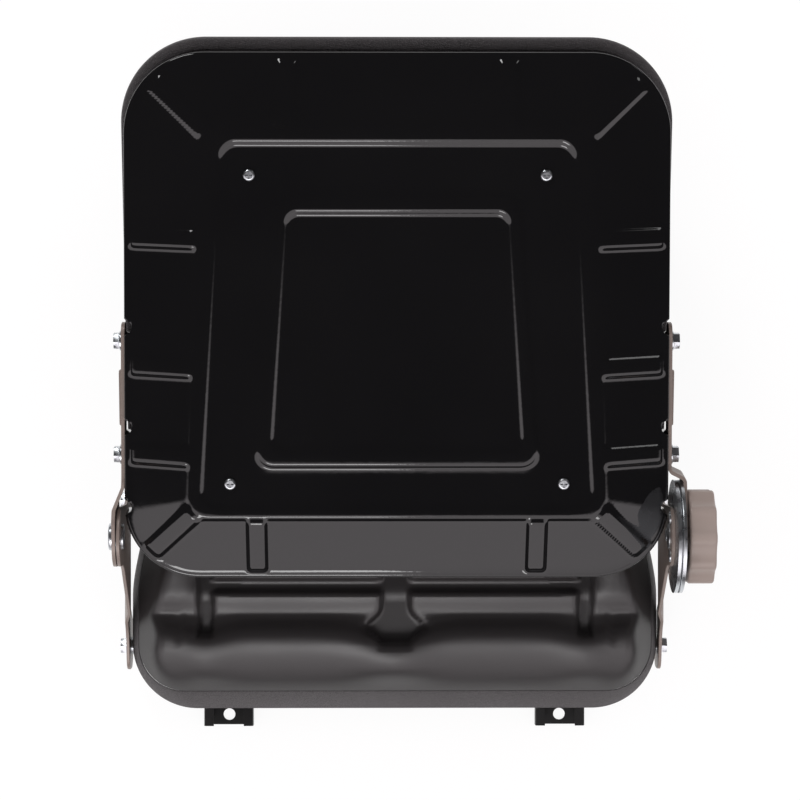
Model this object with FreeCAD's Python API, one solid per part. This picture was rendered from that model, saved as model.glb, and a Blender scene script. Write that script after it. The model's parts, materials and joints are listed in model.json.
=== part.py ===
import FreeCAD, Part
import math
import os

# A seat for a tractor or a fork lift truck, standing on its two slide rails with the backrest
# folded forward onto the seat. Millimetres. X points right, Y forward and Z up. The origin is the
# centre of the four mounting holes, in the plane of the rails' undersides.

# Slide rails
rail_spacing = 310.0        # between the two rails' centre lines
rail_length = 430.0
rail_width = 46.0
rail_height = 16.0
rail_gauge = 2.0            # sheet thickness of all four rails
rail_lip = 9.0              # width of each lip turned in over the lower rail
rail_bend = 2.6             # outside radius of the bends
mount_hole_r = 5.5
mount_hole_inset = 9.5      # from a rail's end to the centre of its hole
upper_rail_length = 300.0
upper_rail_rear = -92.0
upper_rail_top = 24.0
upper_web_half = 12.5       # half the width of the upper rail's raised web
upper_foot_half = 19.5      # half the width over the upper rail's feet
upper_foot_low = 7.0        # underside of those feet

# Balls, rollers and their cages
ball_r = 2.4
ball_play = 0.1             # clear of each track
ball_across = 16.4          # from the rail's centre line
ball_places = (-20.0, 130.0)
cage_length = 190.0
cage_rear = -38.0
cage_thick = 1.6
cage_inner = 13.3
cage_outer = 20.4

# Release latch on the right-hand rail
window_pitch = 12.0
window_length = 7.0
window_width = 4.6
window_count = 15
lever_inset = 39.0          # from that rail's centre line in to the lever rod
lever_height = 12.0
lever_r = 4.0
lever_rear = -53.0
lever_front = 374.0
lever_bend = 14.0
grip_out = 49.0             # from that rail's centre line out to the rod's end
grip_r = 7.5
grip_length = 62.0
ear_play = 0.1
ear_thick = 2.5
ear_width = 22.0
latch_thick = 2.0
latch_low = 18.8
tooth_tip = 16.3            # the teeth stop just above the lip, so that the rail can slide

# Seat pan, skirt and cushion
sheet = 2.0
seat_rear = -194.0
seat_front = 351.0
lobe_half = 241.5           # half the width at the rear lobes
lobe_end = -110.0
waist_step = 18.5           # each side is this much narrower from the waist forward
waist_start = -70.0
rear_corner_r = 60.0
front_corner_r = 70.0
waist_r = 28.0
skirt_low = 52.0
skirt_top = 80.0
skirt_slope_rear = 18.0     # how far the skirt leans in at the rear
skirt_slope_side = 7.0
skirt_slope_front = 10.0
skirt_edge = 1.2            # thickness of the skirt's top edge
skirt_seam_x = -9.0
skirt_seam = 1.2
pan_rim = 62.0
pan_bend = 8.0
fit = 0.3                   # between soft parts and what holds them
bead_height = 3.0
bead_length = 250.0
bead_width = 24.0
bead_places = (-110.0, 60.0, 230.0)
crown = ((80.0, 0.0), (96.0, 1.5), (110.0, 6.0), (122.0, 15.0), (138.0, 26.0), (156.0, 44.0))
groove_depth = 9.0
groove_width = 13.0
groove_inset = 52.0         # from the waist's side in to a long groove
groove_rear = -125.0
groove_front = 292.0
middle_groove_width = 25.0
middle_groove_rear = -131.0
middle_flare_y = -115.0
middle_flare_half = 30.0
cross_groove_y = -84.0
cross_groove_r = 5.0

# Pivot of the backrest
pivot_y = -28.3
pivot_z = 190.0
fold_angle = 10.0           # how far the folded backrest rises towards the front
pivot_r = 7.0
pivot_play = 0.05
plate = 3.0                 # thickness of all four brackets
head_r = 26.0               # radius of the brackets round the pivot

# Backrest pan, in its own frame: x across, u along from the pivot, w up out of the pan
back_sheet = 1.5
rim_low_u = -34.6
rim_top_u = 421.0
rim_inset = 4.5             # the rim is this much narrower on each side than the seat's lobes
rim_taper = 5.5             # and this much narrower again at its top end
rim_low_r = 65.0
rim_top_r = 69.0
rim_w = 10.0
wall_w = -22.0              # lower edge of the turned-down wall
rim_round = 6.0
flange_start = 9.0          # width of the flat rim before the flange rises
flange_w = 22.0
ridge_w = 34.0
ring_w = 28.0
ridge_draft = 5.0
rib_height = 3.5
rib_draft = 3.0
notch_r = 6.5
notch_places = (186.0, 98.6, 27.7)

# Backrest board, cushion and band
board_thick = 8.0
board_inset = 10.0
back_front_w = -52.0
band_w_high = -23.0
band_w_low = -38.0
band_thick = 6.0
cushion_low_inset = 3.0     # the cushion's low end is narrower than the rim, its top end wider
cushion_top_out = 5.5
cushion_low_up = 3.6
cushion_top_up = 10.0
back_cushion_round = 13.0
back_groove_depth = 7.0

# Brackets
arm_top_u = 188.0
arm_w_high = 5.0
arm_w_low = -18.0
arm_bolt_w = -7.0
arm_bolts_u = (172.0, 72.0)
bead_from_u = 96.0
bead_to_u = 148.0
bead_half = 5.0
bead_proud = 2.4
left_head_gap = 2.7         # from the rim to the inner face of the left bracket at the pivot
right_head_gap = 1.5
left_foot_gap = 1.7         # from the seat's lobe to the inner face of the left bracket's foot
right_foot_gap = 0.5
pivot_washer_room = 0.8     # between the left bracket and the left arm
foot_low = 28.0
foot_bend_z = 82.0
head_bend_z = 94.0
foot_rear = -158.0
foot_front = 16.0
seat_bolts_y = (-137.0, -2.0)
seat_bolt_z = 42.0

# Recliner
disc_r = 49.5
disc_thick = 3.5
disc_play = 0.3
rivet_r = 3.0
rivet_head_r = 5.5
rivet_head = 1.1
fixed_rivet_ring = 19.0
shaft_flange_r = 11.0
shaft_flange = 0.9

# Handwheel
wheel_gap = 0.7             # between the arm and the wheel
wheel_thick = 23.5
wheel_r = 42.2
lobe_count = 10
lobe_r = 9.0
valley_depth = 3.5
wheel_wall = 6.5
wheel_face = 5.5
hub_r = 13.0
cap_r = 8.0
cap_thick = 1.8
wheel_edge = 2.5

# Fasteners
bolt_r = 4.0
bolt_across_flats = 13.0
bolt_head = 5.3
nut_height = 6.5
washer_r = 8.5
washer_thick = 1.6
washer_seat = 0.11          # the arms' washers stand this far off, because the arms lean in a little
curved_wall = 1.6           # the rear nuts stand this far in, where the pan's wall starts to curve
pocket = 1.5                # room in the foam round nuts and bolt ends
spacer_r = 8.0
bolt_clear = 0.4
screw_r = 2.5
screw_head_r = 5.0
screw_head = 3.0
screw_cross = 1.2
screw_low_inset = (23.5, 19.0)      # from the ring's side and low end to a low screw
screw_top_inset = (21.5, 25.0)
beyond = 400.0              # longer than any piece is wide, for cutting through
tee_nut_r = 8.0
tee_nut_barrel_r = 4.0
tee_nut_flange = 1.2

Vector = FreeCAD.Vector
os.makedirs("parts", exist_ok=True)


def write(name, shape):
    solids = shape.Solids
    if len(solids) > 1:
        shape = Part.makeCompound(solids)
    if len(solids) == 1:
        shape = solids[0]
    shape.exportStep("parts/" + name + ".step")
    print(name, "solids", len(solids), "valid", shape.isValid(), "volume", round(shape.Volume / 1000.0, 2))


# Outlines are a list of corner points, anticlockwise, with a list of corner radii.

def corner_turn(points, i):
    before = Vector(*points[i]) - Vector(*points[i - 1])
    after = Vector(*points[(i + 1) % len(points)]) - Vector(*points[i])
    return before.x * after.y - before.y * after.x


def shrink(outline, distance):
    points, radii = outline
    count = len(points)
    if not isinstance(distance, (list, tuple)):
        distance = [distance] * count
    edges = []
    for i in range(count):
        start = Vector(points[i][0], points[i][1], 0)
        along = Vector(points[(i + 1) % count][0], points[(i + 1) % count][1], 0) - start
        along.normalize()
        inward = Vector(-along.y, along.x, 0)
        edges.append((start + inward * distance[i], along))
    new_points = []
    new_radii = []
    for i in range(count):
        first, first_way = edges[i - 1]
        second, second_way = edges[i]
        cross = first_way.x * second_way.y - first_way.y * second_way.x
        gap = second - first
        step = (gap.x * second_way.y - gap.y * second_way.x) / cross
        corner = first + first_way * step
        new_points.append((corner.x, corner.y))
        outward_corner = corner_turn(points, i) > 0
        change = -max(distance[i - 1], distance[i]) if outward_corner else min(distance[i - 1], distance[i])
        new_radii.append(max(0.0, radii[i] + change) if radii[i] > 0 else 0.0)
    return new_points, new_radii


def wire(outline, height=0.0):
    points, radii = outline
    count = len(points)
    starts = []
    middles = []
    ends = []
    for i in range(count):
        corner = Vector(points[i][0], points[i][1], height)
        back = Vector(points[i - 1][0], points[i - 1][1], height) - corner
        ahead = Vector(points[(i + 1) % count][0], points[(i + 1) % count][1], height) - corner
        back.normalize()
        ahead.normalize()
        half = back.getAngle(ahead) / 2.0
        reach = radii[i] / math.tan(half)
        bisector = back + ahead
        bisector.normalize()
        starts.append(corner + back * reach)
        ends.append(corner + ahead * reach)
        middles.append(corner + bisector * (radii[i] / math.sin(half) - radii[i]))
    edges = []
    for i in range(count):
        if radii[i] > 0:
            edges.append(Part.Arc(starts[i], middles[i], ends[i]).toShape())
        if ends[i].distanceToPoint(starts[(i + 1) % count]) > 0.001:
            edges.append(Part.LineSegment(ends[i], starts[(i + 1) % count]).toShape())
    return Part.Wire(edges)


def slab(outline, low, high):
    return Part.Face(wire(outline, low)).extrude(Vector(0, 0, high - low))


def taper(low_outline, low, high_outline, high):
    return Part.makeLoft([wire(low_outline, low), wire(high_outline, high)], True, True)


def side_slab(outline, low_x, high_x):
    # The outline is in Y and Z, and is stretched along X.
    shape = slab(outline, low_x, high_x)
    shape.rotate(Vector(0, 0, 0), Vector(1, 1, 1), 120)
    return shape


def end_slab(outline, low_y, high_y):
    # The outline is in X and Z, and is stretched along Y.
    shape = slab(outline, -high_y, -low_y)
    shape.rotate(Vector(0, 0, 0), Vector(1, 0, 0), 90)
    return shape


def box(low, high):
    return Part.makeBox(high[0] - low[0], high[1] - low[1], high[2] - low[2], Vector(*low))


def rod(start, end, radius):
    way = Vector(*end) - Vector(*start)
    return Part.makeCylinder(radius, way.Length, Vector(*start), way)


def slot(x, y, length, width):
    # A plan outline with round ends, long in X.
    half = length / 2.0
    rise = width / 2.0
    points = [(x - half, y - rise), (x + half, y - rise), (x + half, y + rise), (x - half, y + rise)]
    return points, [rise * 0.999] * 4


def rectangle(low, high, radius=0.0):
    points = [(low[0], low[1]), (high[0], low[1]), (high[0], high[1]), (low[0], high[1])]
    return points, [radius] * 4


def strip(path, thickness, bend):
    # A sheet seen on edge: the path, and the same path moved over to its left.
    left = []
    inner_radii = []
    outer_radii = []
    count = len(path)
    for i in range(count):
        here = Vector(path[i][0], path[i][1], 0)
        ways = []
        if i > 0:
            ways.append(here - Vector(path[i - 1][0], path[i - 1][1], 0))
        if i < count - 1:
            ways.append(Vector(path[i + 1][0], path[i + 1][1], 0) - here)
        normals = []
        for way in ways:
            way.normalize()
            normals.append(Vector(-way.y, way.x, 0))
        normal = normals[0] + normals[-1]
        normal.normalize()
        reach = thickness / normal.dot(normals[0])
        left.append((here.x + normal.x * reach, here.y + normal.y * reach))
        turn = 0.0
        if len(ways) == 2:
            turn = ways[0].x * ways[1].y - ways[0].y * ways[1].x
        inner_radii.append(0.0 if turn == 0 else (bend if turn < 0 else bend + thickness))
        outer_radii.append(0.0 if turn == 0 else (bend if turn > 0 else bend + thickness))
    return list(path) + left[::-1], inner_radii + outer_radii[::-1]


def mirrored(outline):
    points, radii = outline
    return [(-p[0], p[1]) for p in points[::-1]], radii[::-1]


def hexagon_prism(start, way, across_flats, length):
    # A hexagon from its start point along one of the axes.
    corner = across_flats / math.sqrt(3.0)
    points = []
    for i in range(6):
        angle = math.radians(60 * i)
        points.append((corner * math.cos(angle), corner * math.sin(angle)))
    shape = slab((points, [0.0] * 6), 0.0, length)
    chamfer = Part.makeCone(corner * 1.25, across_flats * 0.47, length, Vector(0, 0, 0), Vector(0, 0, 1))
    cone_face = Part.makeCylinder(corner * 0.97, length, Vector(0, 0, 0), Vector(0, 0, 1))
    shape = shape.common(chamfer.fuse(cone_face))
    turn = FreeCAD.Rotation(Vector(0, 0, 1), Vector(*way))
    shape.Placement = FreeCAD.Placement(Vector(*start), turn)
    return shape


def mirror_x(shape):
    return shape.mirror(Vector(0, 0, 0), Vector(1, 0, 0))


def fold(shape):
    # From the backrest's own frame to its folded place on the seat.
    shape.rotate(Vector(0, 0, 0), Vector(1, 0, 0), fold_angle)
    shape.translate(Vector(0, pivot_y, pivot_z))
    return shape


# Slide rails

rail_half = rail_width / 2.0
lip_edge = rail_half - rail_lip
rail_low_y = -rail_length / 2.0
rail_high_y = rail_length / 2.0
hole_y = rail_high_y - mount_hole_inset
lip_under = rail_height - rail_gauge
bend_inside = rail_bend - rail_gauge
lever_across = rail_spacing / 2.0 - lever_inset
lever_reach = rail_spacing / 2.0 + grip_out


def lower_rail(centre_x):
    inside = rail_half - rail_gauge
    points = [
        (-rail_half, 0.0),
        (rail_half, 0.0),
        (rail_half, rail_height),
        (lip_edge, rail_height),
        (lip_edge, lip_under),
        (inside, lip_under),
        (inside, rail_gauge),
        (-inside, rail_gauge),
        (-inside, lip_under),
        (-lip_edge, lip_under),
        (-lip_edge, rail_height),
        (-rail_half, rail_height),
    ]
    radii = [rail_bend] * 3 + [0.0, 0.0] + [bend_inside] * 4 + [0.0, 0.0] + [rail_bend]
    shape = end_slab((points, radii), rail_low_y, rail_high_y)
    for y in (-hole_y, hole_y):
        shape = shape.cut(rod((0, y, -1), (0, y, rail_gauge + 1), mount_hole_r))
    shape.translate(Vector(centre_x, 0, 0))
    return shape


def latch_windows(shape):
    # The row of windows in the inner lip of the right-hand rail.
    low_x = rail_spacing / 2.0 - rail_half + 2.2
    for i in range(window_count):
        y = (i - (window_count - 1) / 2.0) * window_pitch
        low = (low_x, y - window_length / 2.0, lip_under - 1)
        high = (low_x + window_width, y + window_length / 2.0, rail_height + 1)
        shape = shape.cut(box(low, high))
    return shape


def upper_rail(centre_x):
    foot_top = upper_foot_low + rail_gauge
    web_under = upper_rail_top - rail_gauge
    inner = upper_web_half - rail_gauge
    points = [
        (-upper_foot_half, upper_foot_low),
        (-inner, upper_foot_low),
        (-inner, web_under),
        (inner, web_under),
        (inner, upper_foot_low),
        (upper_foot_half, upper_foot_low),
        (upper_foot_half, foot_top),
        (upper_web_half, foot_top),
        (upper_web_half, upper_rail_top),
        (-upper_web_half, upper_rail_top),
        (-upper_web_half, foot_top),
        (-upper_foot_half, foot_top),
    ]
    radii = [0.0, rail_bend, bend_inside, bend_inside, rail_bend, 0.0]
    radii += [0.0, bend_inside, rail_bend, rail_bend, bend_inside, 0.0]
    shape = end_slab((points, radii), upper_rail_rear, upper_rail_rear + upper_rail_length)
    for y in slide_bolt_places:
        shape = shape.cut(rod((0, y, web_under - 1), (0, y, upper_rail_top + 1), bolt_r + bolt_clear))
    shape.translate(Vector(centre_x, 0, 0))
    return shape


slide_bolt_inset = 30.0
slide_bolt_places = (
    upper_rail_rear + slide_bolt_inset,
    upper_rail_rear + upper_rail_length - slide_bolt_inset,
)
rail_centres = (-rail_spacing / 2.0, rail_spacing / 2.0)
write("left_lower_rail", lower_rail(rail_centres[0]))
write("right_lower_rail", latch_windows(lower_rail(rail_centres[1])))
write("left_upper_rail", upper_rail(rail_centres[0]))
write("right_upper_rail", upper_rail(rail_centres[1]))

# Ball cages, with balls above the upper rail's feet and rollers below them

foot_top = upper_foot_low + rail_gauge
ball_height = (foot_top + lip_under) / 2.0
roller_height = (rail_gauge + upper_foot_low) / 2.0
roller_r = (upper_foot_low - rail_gauge) / 2.0 - ball_play
roller_half = 2.6


def ball_cage(centre_x):
    strips = []
    for side in (-1, 1):
        low_x = min(side * cage_inner, side * cage_outer)
        high_x = max(side * cage_inner, side * cage_outer)
        low = (low_x, cage_rear, ball_height - cage_thick / 2.0)
        high = (high_x, cage_rear + cage_length, ball_height + cage_thick / 2.0)
        piece = box(low, high)
        for y in ball_places:
            x = side * ball_across
            piece = piece.cut(rod((x, y, ball_height - 3), (x, y, ball_height + 3), ball_r + ball_play))
        strips.append(piece)
    shape = Part.makeCompound(strips)
    shape.translate(Vector(centre_x, 0, 0))
    return shape


balls = []
rollers = []
for centre_x in rail_centres:
    for side in (-1, 1):
        for y in ball_places:
            x = centre_x + side * ball_across
            balls.append(Part.makeSphere(ball_r, Vector(x, y, ball_height)))
            rollers.append(rod((x - roller_half, y, roller_height), (x + roller_half, y, roller_height), roller_r))
write("left_ball_cage", ball_cage(rail_centres[0]))
write("right_ball_cage", ball_cage(rail_centres[1]))
write("slide_balls", Part.makeCompound(balls))
write("slide_rollers", Part.makeCompound(rollers))

# Seat plan

waist_half = lobe_half - waist_step
groove_x = waist_half - groove_inset
seat_plan = (
    [
        (-lobe_half, seat_rear),
        (lobe_half, seat_rear),
        (lobe_half, lobe_end),
        (waist_half, waist_start),
        (waist_half, seat_front),
        (-waist_half, seat_front),
        (-waist_half, waist_start),
        (-lobe_half, lobe_end),
    ],
    [rear_corner_r, rear_corner_r, waist_r, waist_r, front_corner_r, front_corner_r, waist_r, waist_r],
)
side = skirt_slope_side
skirt_plan = shrink(seat_plan, [skirt_slope_rear, side, side, side, skirt_slope_front, side, side, side])
pan_plan = shrink(skirt_plan, skirt_edge + fit)
pan_inner_plan = shrink(pan_plan, sheet)
pan_half_rear = lobe_half - skirt_slope_side - skirt_edge - fit
pan_half_front = waist_half - skirt_slope_side - skirt_edge - fit
pan_floor = upper_rail_top


def bottom_edges(shape, height):
    return [e for e in shape.Edges if abs(e.BoundBox.ZMin - height) < 0.01 and abs(e.BoundBox.ZMax - height) < 0.01]


def seat_pan():
    outside = slab(pan_plan, pan_floor, pan_rim)
    outside = outside.makeFillet(pan_bend, bottom_edges(outside, pan_floor))
    inside = slab(pan_inner_plan, pan_floor + sheet, pan_rim + 1)
    inside = inside.makeFillet(pan_bend - sheet, bottom_edges(inside, pan_floor + sheet))
    shape = outside.cut(inside)
    for y in bead_places:
        outer = slot(0, y, bead_length, bead_width)
        inner = shrink(outer, sheet)
        floor_top = pan_floor + sheet
        shape = shape.fuse(taper(outer, floor_top, shrink(outer, bead_height), floor_top + bead_height))
        shape = shape.cut(taper(inner, pan_floor, shrink(inner, bead_height), pan_floor + bead_height))
    for x in rail_centres:
        for y in slide_bolt_places:
            shape = shape.cut(rod((x, y, pan_floor - 1), (x, y, pan_floor + sheet + 1), bolt_r + bolt_clear))
    for y in seat_bolts_y:
        reach = lobe_half + 10
        shape = shape.cut(rod((-reach, y, seat_bolt_z), (reach, y, seat_bolt_z), bolt_r + bolt_clear))
    return shape


def seat_edge_band():
    shape = taper(seat_plan, skirt_low, skirt_plan, skirt_top)
    shape = shape.cut(slab(shrink(skirt_plan, skirt_edge), skirt_low - 1, skirt_top + 1))
    low = (skirt_seam_x - skirt_seam / 2.0, seat_rear - 1, skirt_low - 1)
    high = (skirt_seam_x + skirt_seam / 2.0, seat_rear + 40, skirt_top + 1)
    return shape.cut(box(low, high))


seat_pan_shape = seat_pan()
write("seat_pan", seat_pan_shape)
write("seat_edge_band", seat_edge_band())

# Seat cushion

cushion_bottom = pan_floor + sheet + bead_height + fit
cushion_side = [
    (seat_rear + 18.0, 80.0),
    (-172.0, 97.0),
    (-163.0, 110.0),
    (-150.0, 116.5),
    (-134.0, 118.0),
    (-121.0, 113.0),
    (-112.0, 105.0),
    (-102.0, 109.0),
    (-70.0, 113.0),
    (60.0, 118.0),
    (200.0, 138.0),
    (290.0, 149.0),
    (330.0, 146.0),
    (seat_front, 138.0),
]


def seat_profile(drop):
    # The volume under the seat surface, lowered by drop.
    curve = Part.BSplineCurve()
    curve.interpolate([Vector(0, y, z - drop) for y, z in cushion_side])
    top = curve.toShape()
    rear = cushion_side[0]
    front = cushion_side[-1]
    corners = [Vector(0, front[0], front[1] - drop), Vector(0, front[0], 0)]
    corners += [Vector(0, rear[0], 0), Vector(0, rear[0], rear[1] - drop)]
    edges = [top]
    for i in range(3):
        edges.append(Part.LineSegment(corners[i], corners[i + 1]).toShape())
    face = Part.Face(Part.Wire(edges))
    shape = face.extrude(Vector(2 * lobe_half, 0, 0))
    shape.translate(Vector(-lobe_half, 0, 0))
    return shape


def seat_surface(y):
    # Height of the seat surface, from the two profile points beside y.
    for i in range(len(cushion_side) - 1):
        low, high = cushion_side[i], cushion_side[i + 1]
        if low[0] <= y <= high[0]:
            return low[1] + (high[1] - low[1]) * (y - low[0]) / (high[0] - low[0])
    return cushion_side[-1][1]


def groove_tool(outline, depth):
    tool = slab(outline, cushion_bottom + 20, 200)
    return tool.cut(seat_profile(depth))


def seat_cushion():
    upper_plan = shrink(skirt_plan, skirt_edge + fit)
    upper = slab(upper_plan, pan_rim + fit, crown[0][0])
    for i in range(len(crown) - 1):
        low, high = crown[i], crown[i + 1]
        upper = upper.fuse(taper(shrink(upper_plan, low[1]), low[0], shrink(upper_plan, high[1]), high[0]))
    upper = upper.common(seat_profile(0.0))
    lower_plan = shrink(pan_inner_plan, fit)
    straight = pan_floor + pan_bend + 1.0
    lower = slab(lower_plan, straight, pan_rim + fit)
    lower = lower.fuse(taper(shrink(lower_plan, pan_bend - sheet), cushion_bottom, lower_plan, straight))
    shape = upper.fuse(lower)
    nut_room = bolt_across_flats / math.sqrt(3.0) + pocket
    for x in rail_centres:
        for y in slide_bolt_places:
            top = pan_floor + sheet + nut_height + 2 * pocket
            shape = shape.cut(rod((x, y, cushion_bottom - 1), (x, y, top), nut_room))
    for y, pan_half in zip(seat_bolts_y, (pan_half_rear, pan_half_front)):
        inner = pan_half - sheet - curved_wall - nut_height - 2.0 - 2 * pocket
        for side in (-1, 1):
            shape = shape.cut(rod((side * inner, y, seat_bolt_z), (side * lobe_half, y, seat_bolt_z), nut_room))
    half = groove_width / 2.0
    tools = []
    for x in (-groove_x, groove_x):
        outline = rectangle((x - half, groove_rear), (x + half, groove_front), half * 0.98)
        tools.append(groove_tool(outline, groove_depth))
    middle = middle_groove_width / 2.0
    flare = (
        [
            (-middle, middle_flare_y + 18),
            (-middle_flare_half, middle_flare_y),
            (-middle * 0.6, middle_groove_rear),
            (middle * 0.6, middle_groove_rear),
            (middle_flare_half, middle_flare_y),
            (middle, middle_flare_y + 18),
            (middle, groove_front),
            (-middle, groove_front),
        ],
        [10.0, 4.0, 8.0, 8.0, 4.0, 10.0, 9.0, 9.0],
    )
    tools.append(groove_tool(flare, groove_depth))
    height = seat_surface(cross_groove_y)
    reach = groove_x - half
    tools.append(rod((-reach, cross_groove_y, height), (reach, cross_groove_y, height), cross_groove_r))
    for tool in tools:
        shape = shape.cut(tool)
    return shape


cushion = seat_cushion()
write("seat_cushion", cushion)

# Backrest pan: one pressed sheet. pan_form(0) is its outside and pan_form(back_sheet) its inside.


def trapezoid(low_u, top_u, low_half, top_half, low_r, top_r):
    points = [(-low_half, low_u), (low_half, low_u), (top_half, top_u), (-top_half, top_u)]
    return points, [low_r, low_r, top_r, top_r]


def nested(outline, margin, radii):
    # The outline inside another one, standing in by its margins.
    low, top = outline[0][1], outline[0][2]
    low_half = low[0] - margin[2]
    top_half = top[0] - margin[3]
    return trapezoid(low[1] + margin[0], top[1] - margin[1], low_half, top_half, radii[0], radii[1])


def half_at(outline, u):
    # Half the width of an outline at u.
    low, top = outline[0][1], outline[0][2]
    return low[0] + (top[0] - low[0]) * (u - low[1]) / (top[1] - low[1])


# Each nested outline stands in from the one outside it: at the low end, at the top end, and on each
# side at those two ends. The two radii are at the low and the top corners.
ridge_margin = (54.4, 58.0, 54.0, 62.5)
ridge_radii = (20.0, 22.0)
ring_margin = (14.2, 19.0, 16.0, 22.0)
ring_radii = (12.0, 12.0)
inner_ridge_margin = (32.0, 39.5, 44.0, 42.0)
inner_ridge_radii = (16.0, 18.0)
panel_margin = (18.5, 19.5, 17.0, 13.0)
panel_radii = (8.0, 8.0)
low_corner_in = (4.0, 4.2)      # from the ridge's corners to the ends of the corner ribs
top_corner_in = (4.0, 4.0)
rim_low_half = lobe_half - rim_inset
rim_top_half = rim_low_half - rim_taper
rim_plan = trapezoid(rim_low_u, rim_top_u, rim_low_half, rim_top_half, rim_low_r, rim_top_r)
ridge_plan = nested(rim_plan, ridge_margin, ridge_radii)
ring_plan = nested(ridge_plan, ring_margin, ring_radii)
inner_ridge_plan = nested(ring_plan, inner_ridge_margin, inner_ridge_radii)
panel_plan = nested(inner_ridge_plan, panel_margin, panel_radii)
ridge_low_half, ridge_low_u = ridge_plan[0][1]
ridge_top_half, ridge_top_u = ridge_plan[0][2]
low_screw = (ring_plan[0][1][0] - screw_low_inset[0], ring_plan[0][1][1] + screw_low_inset[1])
top_screw = (ring_plan[0][2][0] - screw_top_inset[0], ring_plan[0][2][1] - screw_top_inset[1])
screw_places = []
for x, u in (top_screw, low_screw):
    screw_places += [(-x, u), (x, u)]
side_ribs_u = (264.0, 153.5, 76.0)
side_rib_width = 17.0
top_ribs_x = (-94.0, 94.0)
top_rib_width = 19.0
low_ribs_x = (-121.0, 121.0)
low_rib_width = 20.0
corner_rib_width = 18.0


def flange_rib(outer_point, inner_point, width, sink):
    # A raised rib from the rim up the sloping flange to the ridge.
    outer = Vector(outer_point[0], outer_point[1], rim_w - sink)
    inner = Vector(inner_point[0], inner_point[1], flange_w - sink)
    along = inner - outer
    across = Vector(-along.y, along.x, 0)
    across.normalize()
    up = along.cross(across)
    if up.z < 0:
        up = up * -1.0
    up.normalize()
    half_foot = width / 2.0 + rib_draft - sink
    half_top = width / 2.0 - sink

    def section(at):
        foot = at - up * 6.0
        corners = [
            foot - across * half_foot,
            foot + across * half_foot,
            at + across * half_foot,
            at + up * rib_height + across * half_top,
            at + up * rib_height - across * half_top,
            at - across * half_foot,
        ]
        return Part.makePolygon(corners + [corners[0]])

    run_in = along * (1.0 / along.Length)
    start = section(outer + run_in * 4.0)
    end = section(inner + run_in * 6.0)
    return Part.makeLoft([start, end], True, True)


def pan_ribs(sink):
    ribs = []
    for side in (-1, 1):
        for u in side_ribs_u:
            share = (u - rim_low_u) / (rim_top_u - rim_low_u)
            outer_x = rim_low_half + (rim_top_half - rim_low_half) * share - flange_start
            inner_x = half_at(ridge_plan, u)
            ribs.append(flange_rib((side * outer_x, u), (side * inner_x, u), side_rib_width, sink))
        diagonal = 0.2929
        low_corner = (side * (rim_low_half - rim_low_r * diagonal - flange_start * 0.7),
                      rim_low_u + rim_low_r * diagonal + flange_start * 0.7)
        inner = (side * (ridge_low_half - low_corner_in[0]), ridge_low_u + low_corner_in[1])
        ribs.append(flange_rib(low_corner, inner, corner_rib_width, sink))
        top_corner = (side * (rim_top_half - rim_top_r * diagonal - flange_start * 0.7),
                      rim_top_u - rim_top_r * diagonal - flange_start * 0.7)
        inner = (side * (ridge_top_half - top_corner_in[0]), ridge_top_u - top_corner_in[1])
        ribs.append(flange_rib(top_corner, inner, corner_rib_width, sink))
    for x in top_ribs_x:
        ribs.append(flange_rib((x, rim_top_u - flange_start), (x, ridge_top_u), top_rib_width, sink))
    for x in low_ribs_x:
        ribs.append(flange_rib((x, rim_low_u + flange_start), (x, ridge_low_u), low_rib_width, sink))
    return ribs


def pan_form(sink):
    shape = slab(shrink(rim_plan, sink), wall_w - sink, rim_w - sink)
    top = [e for e in shape.Edges if abs(e.BoundBox.ZMin - (rim_w - sink)) < 0.01
           and abs(e.BoundBox.ZMax - (rim_w - sink)) < 0.01]
    shape = shape.makeFillet(rim_round - sink, top)
    inset_rim = shrink(rim_plan, flange_start + sink)
    shape = shape.fuse(taper(inset_rim, rim_w - sink - 0.01, shrink(ridge_plan, sink), flange_w - sink))
    ridge_top = ridge_w - sink
    shape = shape.fuse(taper(shrink(ridge_plan, sink), flange_w - sink,
                             shrink(ridge_plan, ridge_draft + sink), ridge_top))
    for rib in pan_ribs(sink):
        shape = shape.fuse(rib)
    hollow = taper(shrink(ring_plan, -sink), ring_w - sink, shrink(ring_plan, -ridge_draft - sink), ridge_top + 0.01)
    shape = shape.cut(hollow)
    island = taper(shrink(inner_ridge_plan, sink), ring_w - sink - 0.01,
                   shrink(inner_ridge_plan, ridge_draft + sink), ridge_top)
    shape = shape.fuse(island)
    hollow = taper(shrink(panel_plan, -sink), ring_w - sink, shrink(panel_plan, -ridge_draft - sink), ridge_top + 0.01)
    return shape.cut(hollow)


def rim_half_at(u):
    share = (u - rim_low_u) / (rim_top_u - rim_low_u)
    return rim_low_half + (rim_top_half - rim_low_half) * share


def back_pan():
    inside = pan_form(back_sheet)
    below = slab(shrink(rim_plan, back_sheet), wall_w - 10, wall_w + 1)
    shape = pan_form(0.0).cut(inside.fuse(below))
    for u in notch_places:
        for side in (-1, 1):
            x = side * rim_half_at(u)
            shape = shape.cut(rod((x, u, wall_w - 5), (x, u, rim_w + 5), notch_r))
    for x, u in screw_places:
        shape = shape.cut(rod((x, u, ring_w - 5), (x, u, ring_w + 1), screw_r + bolt_clear))
    for u in arm_bolts_u:
        shape = shape.cut(rod((-beyond, u, arm_bolt_w), (beyond, u, arm_bolt_w), bolt_r + bolt_clear))
    return shape


board_top = ring_w - back_sheet
board_low = board_top - board_thick
board_plan = shrink(ring_plan, board_inset)


def back_board():
    shape = slab(board_plan, board_low, board_top)
    for x, u in screw_places:
        shape = shape.cut(rod((x, u, board_low - 1), (x, u, board_top + 1), tee_nut_barrel_r + 0.1))
    return shape


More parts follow.
